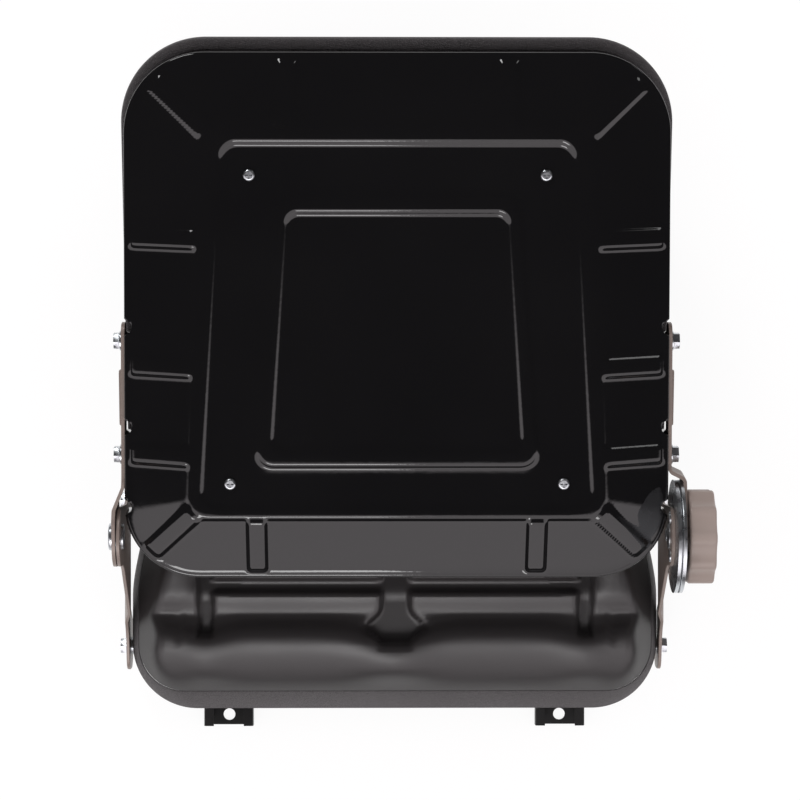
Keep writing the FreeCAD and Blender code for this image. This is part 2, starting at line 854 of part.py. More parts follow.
cushion_plan = trapezoid(
    rim_low_u + cushion_low_up,
    rim_top_u + cushion_top_up,
    rim_low_half - cushion_low_inset,
    rim_top_half + cushion_top_out,
    rim_low_r,
    rim_top_r + 4.0,
)


def back_edge_band():
    shape = slab(cushion_plan, band_w_low, band_w_high)
    return shape.cut(slab(shrink(cushion_plan, band_thick), band_w_low - 1, band_w_high + 1))


def back_cushion():
    front_plan = cushion_plan
    front_top = band_w_low - fit
    shape = taper(shrink(front_plan, back_cushion_round), back_front_w, shrink(front_plan, 4.0), back_front_w + 6.0)
    shape = shape.fuse(taper(shrink(front_plan, 4.0), back_front_w + 6.0, front_plan, front_top))
    shape = shape.fuse(slab(shrink(front_plan, band_thick + fit), front_top, wall_w))
    inside_plan = shrink(rim_plan, back_sheet + rim_round)
    shape = shape.fuse(slab(inside_plan, wall_w - 0.01, rim_w - back_sheet - fit))
    low_plan = shrink(rim_plan, flange_start + back_sheet + 3.0)
    high_plan = shrink(ridge_plan, back_sheet + 5.0)
    shape = shape.fuse(taper(low_plan, rim_w - back_sheet - fit - 0.01, high_plan, board_low - fit))
    half = groove_width / 2.0
    depth = back_front_w + back_groove_depth
    for x in (-groove_x, groove_x):
        shape = shape.cut(slab(rectangle((x - half, 20.0), (x + half, 380.0), half * 0.98), back_front_w - 1, depth))
    for u in back_cross_grooves:
        shape = shape.cut(rod((-groove_x + half, u, back_front_w), (groove_x - half, u, back_front_w), cross_groove_r))
    for x, u in screw_places:
        shape = shape.cut(rod((x, u, board_low - 12), (x, u, board_low), tee_nut_r + 1.0))
    for u in arm_bolts_u:
        for side in (-1, 1):
            outer = side * (rim_half_at(u) + 2)
            inner = side * (rim_half_at(u) - back_sheet - nut_height - 6)
            shape = shape.cut(rod((inner, u, arm_bolt_w), (outer, u, arm_bolt_w), bolt_across_flats * 0.5 + 2.5))
    return shape


back_cross_grooves = (120.0, 290.0)
write("back_pan", fold(back_pan()))
write("back_board", fold(back_board()))
write("back_edge_band", fold(back_edge_band()))
write("back_cushion", fold(back_cushion()))


def back_pan_screws():
    screws = []
    for x, u in screw_places:
        head = rod((x, u, ring_w), (x, u, ring_w + screw_head), screw_head_r)
        head = head.makeFillet(screw_head * 0.6, [e for e in head.Edges if e.BoundBox.ZMin > ring_w + 1 and e.Closed])
        arm = screw_head_r * 0.6
        half = screw_cross / 2.0
        top = ring_w + screw_head
        head = head.cut(box((x - arm, u - half, top - 1.6), (x + arm, u + half, top + 1)))
        head = head.cut(box((x - half, u - arm, top - 1.6), (x + half, u + arm, top + 1)))
        screws.append(head.fuse(rod((x, u, board_low - 2), (x, u, ring_w), screw_r)))
    return Part.makeCompound(screws)


def board_tee_nuts():
    nuts = []
    for x, u in screw_places:
        nut = rod((x, u, board_low - tee_nut_flange), (x, u, board_low), tee_nut_r)
        nut = nut.fuse(rod((x, u, board_low), (x, u, board_top - 1), tee_nut_barrel_r))
        nuts.append(nut.cut(rod((x, u, board_low - 5), (x, u, board_top + 1), screw_r + 0.02)))
    return Part.makeCompound(nuts)


write("back_pan_screws", fold(back_pan_screws()))
write("board_tee_nuts", fold(board_tee_nuts()))

# Arms on the backrest, in its own frame


def arm_side_outline(low_u):
    # In u and w: a bar beside the pan with a round head at the pivot.
    points = [
        (-head_r, -head_r),
        (head_r * 0.72, -head_r),
        (low_u, arm_w_low),
        (arm_top_u, arm_w_low),
        (arm_top_u, arm_w_high),
        (low_u, arm_w_high),
        (head_r * 0.72, head_r),
        (-head_r, head_r),
    ]
    return points, [head_r * 0.98, 10.0, 12.0, 9.0, 9.0, 12.0, 10.0, head_r * 0.98]


def arm(side, pivot_inner, bend_u, head_u):
    # side is 1 on the right. The plate is seen on edge in x and u, then trimmed to its side outline.
    path = [
        (pivot_inner, -head_r - 1),
        (pivot_inner, head_u),
        (rim_half_at(bend_u), bend_u),
        (rim_half_at(arm_top_u), arm_top_u),
    ]
    points, radii = strip([(-x, u) for x, u in path], plate, plate)
    shape = slab((points, radii), -head_r - 1, head_r + 1)
    if side > 0:
        shape = mirror_x(shape)
    shape = shape.common(side_slab(arm_side_outline(bend_u + 6.0), -beyond, beyond))
    out_from = rim_half_at((bead_from_u + bead_to_u) / 2.0) + plate
    bead = rectangle((bead_from_u, arm_bolt_w - bead_half), (bead_to_u, arm_bolt_w + bead_half), bead_half * 0.98)
    shallow = shrink(bead, 2.0)
    raised = taper(bead, out_from - 0.6, shallow, out_from + bead_proud)
    hollow = taper(shrink(bead, 1.5), out_from - plate - 1.5, shrink(shallow, 1.0), out_from + bead_proud - 1.6)
    for form in (raised, hollow):
        form.rotate(Vector(0, 0, 0), Vector(1, 1, 1), 120)
    if side < 0:
        raised = mirror_x(raised)
        hollow = mirror_x(hollow)
    shape = shape.fuse(raised).cut(hollow)
    for u in arm_bolts_u:
        shape = shape.cut(rod((-beyond, u, arm_bolt_w), (beyond, u, arm_bolt_w), bolt_r + bolt_clear))
    return shape.cut(rod((-beyond, 0, 0), (beyond, 0, 0), pivot_r + pivot_play))


rim_at_pivot = max(rim_low_half, rim_half_at(disc_r))
left_head_in = rim_at_pivot + left_head_gap
right_head_in = rim_at_pivot + right_head_gap
left_arm_out = left_head_in + plate + pivot_washer_room
left_foot_in = lobe_half + left_foot_gap
right_foot_in = lobe_half + right_foot_gap
disc_inner = right_head_in + plate
moving_disc_inner = disc_inner + disc_thick + disc_play
right_arm_out = moving_disc_inner + disc_thick
arm_outer_face = right_arm_out + plate
moving_rivets = [(-16.0, -12.0), (-16.0, 12.0), (12.0, -17.0), (12.0, 17.0)]
left_arm_shape = arm(-1, left_arm_out, 45.0, 27.0)
right_arm_shape = arm(1, right_arm_out, 58.0, disc_r + 2.4)
for u, w in moving_rivets:
    right_arm_shape = right_arm_shape.cut(rod((right_arm_out - 1, u, w), (arm_outer_face + 1, u, w), rivet_r))
write("left_upper_bracket", fold(left_arm_shape))
write("right_upper_bracket", fold(right_arm_shape))

# Side brackets on the seat


def bracket(side, head_in, foot_in):
    path = [(head_in, pivot_z + head_r + 1), (head_in, head_bend_z), (foot_in, foot_bend_z), (foot_in, foot_low - 1)]
    points, radii = strip(path, plate, plate)
    shape = end_slab((points, radii), foot_rear - 1, foot_front + 40)
    if side < 0:
        shape = mirror_x(shape)
    head_low = pivot_z - head_r
    head_top = pivot_z + head_r
    points = [
        (foot_rear, foot_low),
        (seat_bolts_y[0] + 22.0, foot_low),
        ((seat_bolts_y[0] + seat_bolts_y[1]) / 2.0 - 20.0, foot_bend_z - 8.0),
        ((seat_bolts_y[0] + seat_bolts_y[1]) / 2.0 + 34.0, foot_bend_z - 8.0),
        (seat_bolts_y[1] - 20.0, foot_low),
        (foot_front, foot_low),
        (foot_front, 70.0),
        (pivot_y + head_r, 132.0),
        (pivot_y + head_r, head_top),
        (pivot_y - head_r, head_top),
        (pivot_y - head_r, head_low + 4.0),
        (-118.0, 74.0),
        (foot_rear, 62.0),
    ]
    radii = [14.0, 14.0, 20.0, 16.0, 10.0, 14.0, 30.0, 30.0, head_r * 0.98, head_r * 0.98, 40.0, 40.0, 14.0]
    shape = shape.common(side_slab((points, radii), -beyond, beyond))
    for y in seat_bolts_y:
        shape = shape.cut(rod((-beyond, y, seat_bolt_z), (beyond, y, seat_bolt_z), bolt_r + bolt_clear))
    return shape


fixed_rivets = []
for angle in (30, 150, 270):
    turn = math.radians(angle)
    fixed_rivets.append((pivot_y + fixed_rivet_ring * math.cos(turn), pivot_z + fixed_rivet_ring * math.sin(turn)))

left_bracket_shape = bracket(-1, left_head_in, left_foot_in)
left_bracket_shape = left_bracket_shape.cut(rod((-beyond, pivot_y, pivot_z), (0, pivot_y, pivot_z), pivot_r))
right_bracket_shape = bracket(1, right_head_in, right_foot_in)
right_bracket_shape = right_bracket_shape.cut(rod((0, pivot_y, pivot_z), (beyond, pivot_y, pivot_z), pivot_r + pivot_play))
for y, z in fixed_rivets:
    right_bracket_shape = right_bracket_shape.cut(rod((right_head_in - 1, y, z), (disc_inner + 1, y, z), rivet_r))
write("left_lower_bracket", left_bracket_shape)
write("right_lower_bracket", right_bracket_shape)

# Plain pivot on the left: a shouldered pin riveted through the bracket

left_head_out = left_head_in + plate
left_arm_face = left_arm_out + plate


def left_pivot_pin():
    inner = -left_head_in
    head_from = -(left_arm_face + 0.4)
    shape = rod((inner + 1.8, pivot_y, pivot_z), (head_from - 3.0, pivot_y, pivot_z), pivot_r)
    shape = shape.fuse(rod((inner, pivot_y, pivot_z), (inner + 1.8, pivot_y, pivot_z), pivot_r + 4))
    head = rod((head_from, pivot_y, pivot_z), (head_from - 4.0, pivot_y, pivot_z), pivot_r + 5)
    head = head.makeFillet(1.8, [e for e in head.Edges if e.Closed and e.BoundBox.XMax < head_from - 3])
    return shape.fuse(head)


washer = rod((-left_head_out, pivot_y, pivot_z), (-left_arm_out + 0.05, pivot_y, pivot_z), 20.0)
write("left_pivot_pin", left_pivot_pin())
write("left_pivot_washer", washer.cut(rod((-beyond, pivot_y, pivot_z), (0, pivot_y, pivot_z), pivot_r + pivot_play)))

# Recliner: two round discs, riveted to the bracket and to the arm


def disc(low_x, high_x, rim_side):
    shape = rod((low_x, pivot_y, pivot_z), (high_x, pivot_y, pivot_z), disc_r)
    edge_x = high_x if rim_side > 0 else low_x
    rim_edges = [e for e in shape.Edges if e.Closed and abs(e.BoundBox.XMin - edge_x) < 0.01]
    shape = shape.makeFillet(1.2, rim_edges)
    return shape.cut(rod((low_x - 1, pivot_y, pivot_z), (high_x + 1, pivot_y, pivot_z), pivot_r + pivot_play))


def rivet(start, end, head_at_start, head_at_end):
    shape = rod(start, end, rivet_r)
    if head_at_start:
        outer = (start[0] - rivet_head, start[1], start[2])
        shape = shape.fuse(rod(outer, start, rivet_head_r))
    if head_at_end:
        outer = (end[0] + rivet_head, end[1], end[2])
        shape = shape.fuse(rod(end, outer, rivet_head_r))
    return shape


fixed_disc = disc(disc_inner, disc_inner + disc_thick, 1)
moving_disc = disc(moving_disc_inner, right_arm_out, -1)
for y, z in fixed_rivets:
    fixed_disc = fixed_disc.cut(rod((disc_inner - 1, y, z), (right_arm_out, y, z), rivet_r))
fixed_rivet_shapes = []
for y, z in fixed_rivets:
    fixed_rivet_shapes.append(rivet((right_head_in, y, z), (disc_inner + disc_thick, y, z), True, False))
moving_rivet_shapes = []
moving_holes = []
for u, w in moving_rivets:
    moving_rivet_shapes.append(rivet((moving_disc_inner, u, w), (arm_outer_face, u, w), False, False))
    moving_holes.append(rod((moving_disc_inner - 1, u, w), (arm_outer_face, u, w), rivet_r))
moving_holes = fold(Part.makeCompound(moving_holes))
write("recliner_fixed_disc", fixed_disc)
write("recliner_moving_disc", moving_disc.cut(moving_holes))
write("fixed_disc_rivets", Part.makeCompound(fixed_rivet_shapes))
write("moving_disc_rivets", fold(Part.makeCompound(moving_rivet_shapes)))

# Handwheel on its shaft

wheel_inner = arm_outer_face + wheel_gap
wheel_outer = wheel_inner + wheel_thick
shaft_end = wheel_outer - wheel_face


def recliner_shaft():
    flange_high = right_head_in - 0.2
    shape = rod((flange_high - shaft_flange, pivot_y, pivot_z), (flange_high, pivot_y, pivot_z), shaft_flange_r)
    shape = shape.fuse(rod((flange_high, pivot_y, pivot_z), (shaft_end, pivot_y, pivot_z), pivot_r))
    flat = box((wheel_inner + 4, pivot_y - pivot_r, pivot_z + pivot_r - 1.5),
               (shaft_end + 1, pivot_y + pivot_r, pivot_z + pivot_r + 1))
    return shape.cut(flat)


def lobed_wire(outer_r, crest_r, valley_r):
    # Crest arcs joined by valley arcs that meet them smoothly.
    half_step = math.pi / lobe_count
    crest_at = outer_r - crest_r
    top = crest_at ** 2 + valley_r ** 2 - 2 * crest_at * valley_r * math.cos(half_step) - crest_r ** 2
    hollow_r = top / (2 * (crest_r - valley_r + crest_at * math.cos(half_step)))
    hollow_at = valley_r + hollow_r
    edges = []
    for i in range(lobe_count):
        angle = 2 * half_step * i
        crest = Vector(crest_at * math.cos(angle), crest_at * math.sin(angle), 0)
        joins = []
        for turn in (-half_step, half_step):
            valley = Vector(hollow_at * math.cos(angle + turn), hollow_at * math.sin(angle + turn), 0)
            toward = valley - crest
            toward.normalize()
            joins.append(crest + toward * crest_r)
        peak = Vector(outer_r * math.cos(angle), outer_r * math.sin(angle), 0)
        edges.append(Part.Arc(joins[0], peak, joins[1]).toShape())
        next_angle = angle + 2 * half_step
        next_crest = Vector(crest_at * math.cos(next_angle), crest_at * math.sin(next_angle), 0)
        valley = Vector(hollow_at * math.cos(angle + half_step), hollow_at * math.sin(angle + half_step), 0)
        toward = valley - next_crest
        toward.normalize()
        dip = Vector(valley_r * math.cos(angle + half_step), valley_r * math.sin(angle + half_step), 0)
        edges.append(Part.Arc(joins[1], dip, next_crest + toward * crest_r).toShape())
    return Part.Wire(edges)


def handwheel():
    body = Part.Face(lobed_wire(wheel_r, lobe_r, wheel_r - valley_depth)).extrude(Vector(0, 0, wheel_thick))
    rim_edges = []
    for edge in body.Edges:
        flat = edge.BoundBox.ZMax - edge.BoundBox.ZMin < 0.01
        if flat:
            rim_edges.append(edge)
    body = body.makeFillet(wheel_edge, rim_edges)
    hollow_r = wheel_r - valley_depth - wheel_wall
    hollow = Part.makeCone(hollow_r, hollow_r - 2, wheel_thick - wheel_face)
    hub = Part.makeCylinder(hub_r, wheel_thick - wheel_face)
    body = body.cut(hollow.cut(hub))
    for i in range(5):
        angle = math.radians(72 * i)
        rib = box((hub_r - 1, -1.2, 6.0), (hollow_r, 1.2, wheel_thick - wheel_face + 0.5))
        rib.rotate(Vector(0, 0, 0), Vector(0, 0, 1), math.degrees(angle))
        body = body.fuse(rib)
    body = body.cut(Part.makeCylinder(cap_r, cap_thick, Vector(0, 0, wheel_thick - cap_thick)))
    body.rotate(Vector(0, 0, 0), Vector(0, 1, 0), 90)
    body.translate(Vector(wheel_inner, pivot_y, pivot_z))
    return body.cut(recliner_shaft())


def handwheel_cap():
    start = wheel_outer - cap_thick
    shape = rod((start, pivot_y, pivot_z), (wheel_outer + 0.6, pivot_y, pivot_z), cap_r - 0.05)
    outer = [e for e in shape.Edges if e.Closed and e.BoundBox.XMin > wheel_outer]
    return shape.makeFillet(0.8, outer)


write("recliner_shaft", recliner_shaft())
write("handwheel", handwheel())
write("handwheel_cap", handwheel_cap())

# Bolts, washers, nuts and spacers of the brackets


def bolt(start, way, length):
    # start is the face under the head, and way points from there to the nut.
    out = (-way[0], -way[1], -way[2])
    head = hexagon_prism(start, out, bolt_across_flats, bolt_head)
    end = (start[0] + way[0] * length, start[1] + way[1] * length, start[2] + way[2] * length)
    return head.fuse(rod(start, end, bolt_r))


def nut(start, way):
    end = (start[0] + way[0] * 2 * nut_height, start[1] + way[1] * 2 * nut_height, start[2] + way[2] * 2 * nut_height)
    body = hexagon_prism(start, way, bolt_across_flats, nut_height)
    back = (start[0] - way[0], start[1] - way[1], start[2] - way[2])
    return body.cut(rod(back, end, bolt_r))


back_bolts = []
back_washers = []
back_nuts = []
for side in (-1, 1):
    for u in arm_bolts_u:
        face = rim_half_at(u) + plate
        inner = rim_half_at(u) - back_sheet
        way = (-side, 0, 0)
        washer_start = (side * (face + washer_seat), u, arm_bolt_w)
        washer_end = (side * (face + washer_seat + washer_thick), u, arm_bolt_w)
        hole = rod((side * (face - 1), u, arm_bolt_w), (side * (face + 4), u, arm_bolt_w), bolt_r + 0.2)
        back_washers.append(rod(washer_start, washer_end, washer_r).cut(hole))
        reach = washer_thick + plate + back_sheet + nut_height + 2.0
        back_bolts.append(bolt(washer_end, way, reach))
        back_nuts.append(nut((side * (inner - 0.1), u, arm_bolt_w), way))
write("back_bracket_bolts", fold(Part.makeCompound(back_bolts)))
write("back_bolt_washers", fold(Part.makeCompound(back_washers)))
write("back_weld_nuts", fold(Part.makeCompound(back_nuts)))

seat_bolts = []
seat_washers = []
seat_nuts = []
front_spacers = []
rear_spacers = []
for side in (-1, 1):
    foot_in = left_foot_in if side < 0 else right_foot_in
    for y, pan_half, spacers, curve in (
        (seat_bolts_y[0], pan_half_rear, rear_spacers, curved_wall),
        (seat_bolts_y[1], pan_half_front, front_spacers, 0.0),
    ):
        face = foot_in + plate
        way = (-side, 0, 0)
        washer_end = (side * (face + washer_thick), y, seat_bolt_z)
        piece = rod((side * face, y, seat_bolt_z), washer_end, washer_r)
        hole = rod((0, y, seat_bolt_z), (side * beyond, y, seat_bolt_z), bolt_r + 0.2)
        seat_washers.append(piece.cut(hole))
        spacer_start = (side * (pan_half - curve), y, seat_bolt_z)
        spacer = rod(spacer_start, (side * (face - plate), y, seat_bolt_z), spacer_r)
        spacers.append(spacer.cut(hole).cut(seat_pan_shape))
        inner = pan_half - sheet - curve
        reach = face + washer_thick - inner + nut_height + 2.0
        seat_bolts.append(bolt(washer_end, way, reach))
        seat_nuts.append(nut((side * inner, y, seat_bolt_z), way))
write("seat_bracket_bolts", Part.makeCompound(seat_bolts))
write("seat_bolt_washers", Part.makeCompound(seat_washers))
write("seat_weld_nuts", Part.makeCompound(seat_nuts))
write("front_bracket_spacers", Part.makeCompound(front_spacers))
write("rear_bracket_spacers", Part.makeCompound(rear_spacers))

# Bolts from the upper rails up into the seat pan

slide_bolts = []
slide_nuts = []
web_under = upper_rail_top - rail_gauge
for x in rail_centres:
    for y in slide_bolt_places:
        reach = rail_gauge + sheet + nut_height + 1.5
        slide_bolts.append(bolt((x, y, web_under), (0, 0, 1), reach))
        slide_nuts.append(nut((x, y, pan_floor + sheet), (0, 0, 1)))
write("slide_bolts", Part.makeCompound(slide_bolts))
write("slide_nuts", Part.makeCompound(slide_nuts))

# Slide release: a rod along the right-hand rail, its latch plate, bearings, spring and grip


def lever_rod():
    rear = Vector(lever_across, lever_rear, lever_height)
    bend_start = Vector(lever_across, lever_front - lever_bend, lever_height)
    slant = lever_bend * (1 - math.sqrt(0.5))
    bend_middle = Vector(lever_across + slant, lever_front - slant, lever_height)
    bend_end = Vector(lever_across + lever_bend, lever_front, lever_height)
    tip = Vector(lever_reach, lever_front, lever_height)
    path = Part.Wire([
        Part.LineSegment(rear, bend_start).toShape(),
        Part.Arc(bend_start, bend_middle, bend_end).toShape(),
        Part.LineSegment(bend_end, tip).toShape(),
    ])
    section = Part.Wire([Part.makeCircle(lever_r, rear, Vector(0, 1, 0))])
    return path.makePipeShell([section], True, True)


def lever_grip():
    start = lever_reach - grip_length + 4.0
    end = lever_reach + 4.0
    shape = rod((start, lever_front, lever_height), (end, lever_front, lever_height), grip_r)
    shape = shape.makeFillet(3.0, [e for e in shape.Edges if e.Closed])
    return shape.cut(rod((start - 1, lever_front, lever_height), (lever_reach, lever_front, lever_height), lever_r))


def lever_ear(y):
    hanging = rectangle((lever_across - ear_width / 2.0, 4.5), (lever_across + ear_width / 2.0, pan_floor), 0.0)
    hanging = (hanging[0], [9.0, 9.0, 0.0, 0.0])
    shape = end_slab(hanging, y, y + ear_thick)
    foot_low_z = pan_floor - ear_thick
    shape = shape.fuse(box((lever_across - ear_width / 2.0, y, foot_low_z),
                           (lever_across + ear_width / 2.0, y + 14.0, pan_floor)))
    return shape.cut(rod((lever_across, y - 1, lever_height), (lever_across, y + 20, lever_height), lever_r + ear_play))


window_low_x = rail_spacing / 2.0 - rail_half + 2.2
latch_half = window_pitch * 1.5


def latch_plate():
    low_x = lever_across
    far_x = window_low_x + window_width - 0.8
    path = [(low_x - 1.0, lever_height + lever_r - 0.6), (low_x + 5.0, latch_low), (far_x, latch_low)]
    points, radii = strip(path, latch_thick, 2.0)
    shape = end_slab((points, radii), -latch_half, latch_half)
    for i in (-1, 0, 1):
        y = i * window_pitch
        half = window_length / 2.0 - 1.0
        shape = shape.fuse(box((far_x - 2.6, y - half, tooth_tip), (far_x, y + half, latch_low + 0.5)))
    rod_space = rod((lever_across, -latch_half - 1, lever_height), (lever_across, latch_half + 1, lever_height), lever_r)
    return shape.cut(rod_space)


rear_ear_y = lever_rear + 6.0
front_ear_y = 300.0
spring_wire_r = 0.8
spring_r = 5.1
spring_turns = 5
spring_pitch = 1.9
spring_rear = rear_ear_y + 14.0 + 1.5


def latch_spring():
    # A torsion spring round the rod, with one leg up to the pan and one under the latch plate.
    helix = Part.makeHelix(spring_pitch, spring_pitch * spring_turns, spring_r)
    section = Part.Wire([Part.makeCircle(spring_wire_r, Vector(spring_r, 0, 0), Vector(0, 1, 0))])
    coil = Part.Wire(helix).makePipeShell([section], True, True)
    coil.rotate(Vector(0, 0, 0), Vector(1, 0, 0), -90)
    coil.translate(Vector(lever_across, spring_rear, lever_height))
    return coil


write("lever_rod", lever_rod())
write("lever_grip", lever_grip())
write("rear_lever_ear", lever_ear(rear_ear_y))
write("front_lever_ear", lever_ear(front_ear_y))
write("latch_plate", latch_plate())
write("latch_spring", latch_spring())
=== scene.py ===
import json
import math

import bmesh
import bpy
import numpy as np
from mathutils import Matrix, Vector

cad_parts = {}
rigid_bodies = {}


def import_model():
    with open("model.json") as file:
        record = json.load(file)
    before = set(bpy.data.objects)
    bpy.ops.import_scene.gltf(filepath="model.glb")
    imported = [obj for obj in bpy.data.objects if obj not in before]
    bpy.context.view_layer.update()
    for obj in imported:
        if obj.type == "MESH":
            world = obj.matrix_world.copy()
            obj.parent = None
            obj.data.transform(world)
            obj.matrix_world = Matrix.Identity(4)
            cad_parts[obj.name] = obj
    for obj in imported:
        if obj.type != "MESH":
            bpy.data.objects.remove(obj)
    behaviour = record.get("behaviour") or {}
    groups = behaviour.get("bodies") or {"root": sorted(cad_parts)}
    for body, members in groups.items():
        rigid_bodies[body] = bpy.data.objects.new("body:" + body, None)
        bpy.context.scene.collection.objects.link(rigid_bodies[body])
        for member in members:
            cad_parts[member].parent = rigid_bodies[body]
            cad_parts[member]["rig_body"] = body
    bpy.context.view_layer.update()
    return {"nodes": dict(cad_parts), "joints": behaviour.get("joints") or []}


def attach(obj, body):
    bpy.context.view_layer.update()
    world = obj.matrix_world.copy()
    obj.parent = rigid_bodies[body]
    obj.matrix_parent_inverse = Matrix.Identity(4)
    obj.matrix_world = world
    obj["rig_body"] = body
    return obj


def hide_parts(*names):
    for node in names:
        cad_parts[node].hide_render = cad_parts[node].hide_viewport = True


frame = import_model()
mm = 0.001
foldJoint = [joint for joint in frame["joints"] if joint["name"] == "backrest_fold"][0]
pivot = Vector(foldJoint["pos_m"])
foldAngle = math.radians(10)  # how far the folded backrest rises towards the front
backFrame = Matrix.Translation(pivot) @ Matrix.Rotation(foldAngle, 4, "X")
seatFrame = Matrix.Identity(4)
print("frame loaded")


# small helpers

def smooth(value):
    value = min(1.0, max(0.0, value))
    return value * value * (3 - 2 * value)


def softMin(a, b, reach):
    mix = min(1.0, max(0.0, 0.5 + 0.5 * (b - a) / reach))
    return b + (a - b) * mix - reach * mix * (1 - mix)


def within(place, start, rampIn, end, rampOut):
    # 1 between start and end, with a smooth ramp inside each
    return smooth((place - start) / rampIn) * smooth((end - place) / rampOut)


def curveThrough(points):
    # a smooth curve through (position, height) points, steepness taken from the neighbours
    at = [p[0] for p in points]
    value = [p[1] for p in points]
    slope = []
    for k in range(len(points)):
        before, after = max(k - 1, 0), min(k + 1, len(points) - 1)
        slope.append((value[after] - value[before]) / (at[after] - at[before]))

    def read(x):
        if x <= at[0]:
            return value[0]
        if x >= at[-1]:
            return value[-1]
        k = max(i for i in range(len(at) - 1) if at[i] <= x)
        step = at[k + 1] - at[k]
        t = (x - at[k]) / step
        low = (1 + 2 * t) * (1 - t) ** 2 * value[k] + t * (1 - t) ** 2 * step * slope[k]
        high = t * t * (3 - 2 * t) * value[k + 1] + t * t * (t - 1) * step * slope[k + 1]
        return low + high
    return read


def objectFrom(name, mesh, place=None):
    data = bpy.data.meshes.new(name)
    if place is not None:
        mesh.transform(Matrix.Scale(mm, 4))
        mesh.transform(place)
    mesh.to_mesh(data)
    mesh.free()
    piece = bpy.data.objects.new(name, data)
    bpy.context.scene.collection.objects.link(piece)
    return piece


def shadeSmooth(piece, angle):
    # edges that turn more than the angle, in degrees, stay sharp
    piece.data.polygons.foreach_set("use_smooth", [True] * len(piece.data.polygons))
    piece.data.set_sharp_from_angle(angle=math.radians(angle))


# Rounded rings. A ring is a rounded four-sided outline in a piece's own plan, in millimetres. It is
# an array, so that rings can be blended. It holds the low and high end, the half widths there, the
# corner radii there, the height, where the sides' straight span starts and ends, half the straight
# span of the low and of the high end, and the mesh lines from the middle that a span takes.
heightAt = 6
sideSpanAt = slice(7, 9)
endSpanAt = slice(9, 11)


def ring(low, high, lowHalf, highHalf, lowRadius, highRadius, height, lines):
    return np.array([low, high, lowHalf, highHalf, lowRadius, highRadius, height,
                     low + lowRadius, high - highRadius,
                     lowHalf - lowRadius, highHalf - highRadius, lines], float)


def insetRing(plan, inset, height, lines):
    low, high, lowHalf, highHalf, lowRadius, highRadius = plan
    return ring(low + inset, high - inset, lowHalf - inset, highHalf - inset,
                max(lowRadius - inset, 1.0), max(highRadius - inset, 1.0), height, lines)


def pointRing(plan, height=0.0):
    middle = ringMiddle(plan)
    return ring(middle, middle, 0, 0, 0, 0, height, 0)


def ringLength(shape):
    return shape[1] - shape[0]


def ringMiddle(shape):
    return (shape[0] + shape[1]) / 2


def roundCorner(share, straight, radius):
    # how far along and how far in lies a point, at a share of a straight run with half a corner
    run = share * (straight + radius * math.pi / 4)
    if run <= straight:
        return run, 0.0
    angle = (run - straight) / radius
    return straight + radius * math.sin(angle), radius - radius * math.cos(angle)


def ringPoint(shape, i, j, warps):
    # i and j count mesh lines from the middle; the larger one tells the side
    low, high, lowHalf, highHalf, lowRadius, highRadius = shape[:heightAt]
    spanLow, spanHigh = shape[sideSpanAt]
    lowSpan, highSpan = shape[endSpanAt]
    lines = shape[-1]
    count = max(abs(i), abs(j))
    if count == 0:
        return 0.0, ringMiddle(shape)
    wide = (lowHalf + highHalf) / 2
    onSide = abs(i) >= abs(j)
    atHigh = j > 0
    sign = 1 if atHigh else -1
    end = high if atHigh else low
    radius = highRadius if atHigh else lowRadius
    endSpan = highSpan * wide / highHalf if atHigh else lowSpan * wide / lowHalf
    across = j if onSide else i
    if abs(across) <= lines:
        if onSide:
            share = (warps["side"](across / lines) + 1) / 2
            x, u = math.copysign(wide, i), spanLow + (spanHigh - spanLow) * share
        else:
            x, u = warps["high" if atHigh else "low"](across / lines) * endSpan, end
    else:
        share = (abs(across) - lines) / (count - lines)
        if onSide:
            start = spanHigh if atHigh else spanLow
            along, inward = roundCorner(share, sign * (end - start) - radius, radius)
            x, u = wide - inward, start + sign * along
        else:
            along, inward = roundCorner(share, wide - radius - endSpan, radius)
            x, u = endSpan + along, end - sign * inward
        x = math.copysign(x, i)
    # the outline narrows or widens evenly from its low end to its high end
    x *= (lowHalf + (highHalf - lowHalf) * (u - low) / (high - low)) / wide
    return x, u


def evenly(share):
    return share


def denserAt(places, halfSpan, middle=0.0, reach=4.0, gain=3.0):
    # mesh lines gather at the given places of a span
    samples = 801
    positions = np.linspace(-1, 1, samples)
    weight = np.ones_like(positions)
    for place in places:
        weight += gain * np.exp(-(((positions * halfSpan + middle) - place) / reach) ** 2)
    total = np.cumsum(weight)
    total = (total - total[0]) / (total[-1] - total[0]) * 2 - 1
    return lambda share: float(np.interp(share, total, positions))


def roundedRings(keys):
    # keys are (ring, bend radius, mesh steps round the bend, mesh steps before it)
    mostOfRun = 0.48  # a bend takes no more than this of the run on either side

    def spread(a, b):
        return math.hypot((ringLength(b) - ringLength(a)) / 2, b[heightAt] - a[heightAt])

    def trimmed(k):
        before, (here, radius), after = keys[k - 1][0], keys[k][:2], keys[k + 1][0]
        back, ahead = spread(before, here), spread(here, after)
        cut = min(radius, back * mostOfRun, ahead * mostOfRun)
        return here + (before - here) * (cut / back), here + (after - here) * (cut / ahead)

    last = keys[0][0]
    rings = [last]
    for k in range(1, len(keys)):
        here, radius, bendSteps, steps = keys[k]
        start, end = trimmed(k) if radius > 0 else (here, here)
        for n in range(1, steps + 1):
            rings.append(last + (start - last) * (n / steps))
        for n in range(1, bendSteps + 1):
            t = n / bendSteps
            rings.append(start * (1 - t) ** 2 + here * 2 * t * (1 - t) + end * t * t)
        last = end
    return rings


def ringSheet(rings, warps, lift):
    # a square grid laid out ring by ring; lift gives each point its height
    count = len(rings) - 1
    mesh = bmesh.new()
    bmesh.ops.create_grid(mesh, x_segments=2 * count, y_segments=2 * count, size=count)
    for vert in mesh.verts:
        i, j = round(vert.co.x), round(vert.co.y)
        index = max(abs(i), abs(j))
        x, u = ringPoint(rings[index], i, j, warps)
        vert.co = lift(x, u, rings[index][heightAt], index)
    return mesh


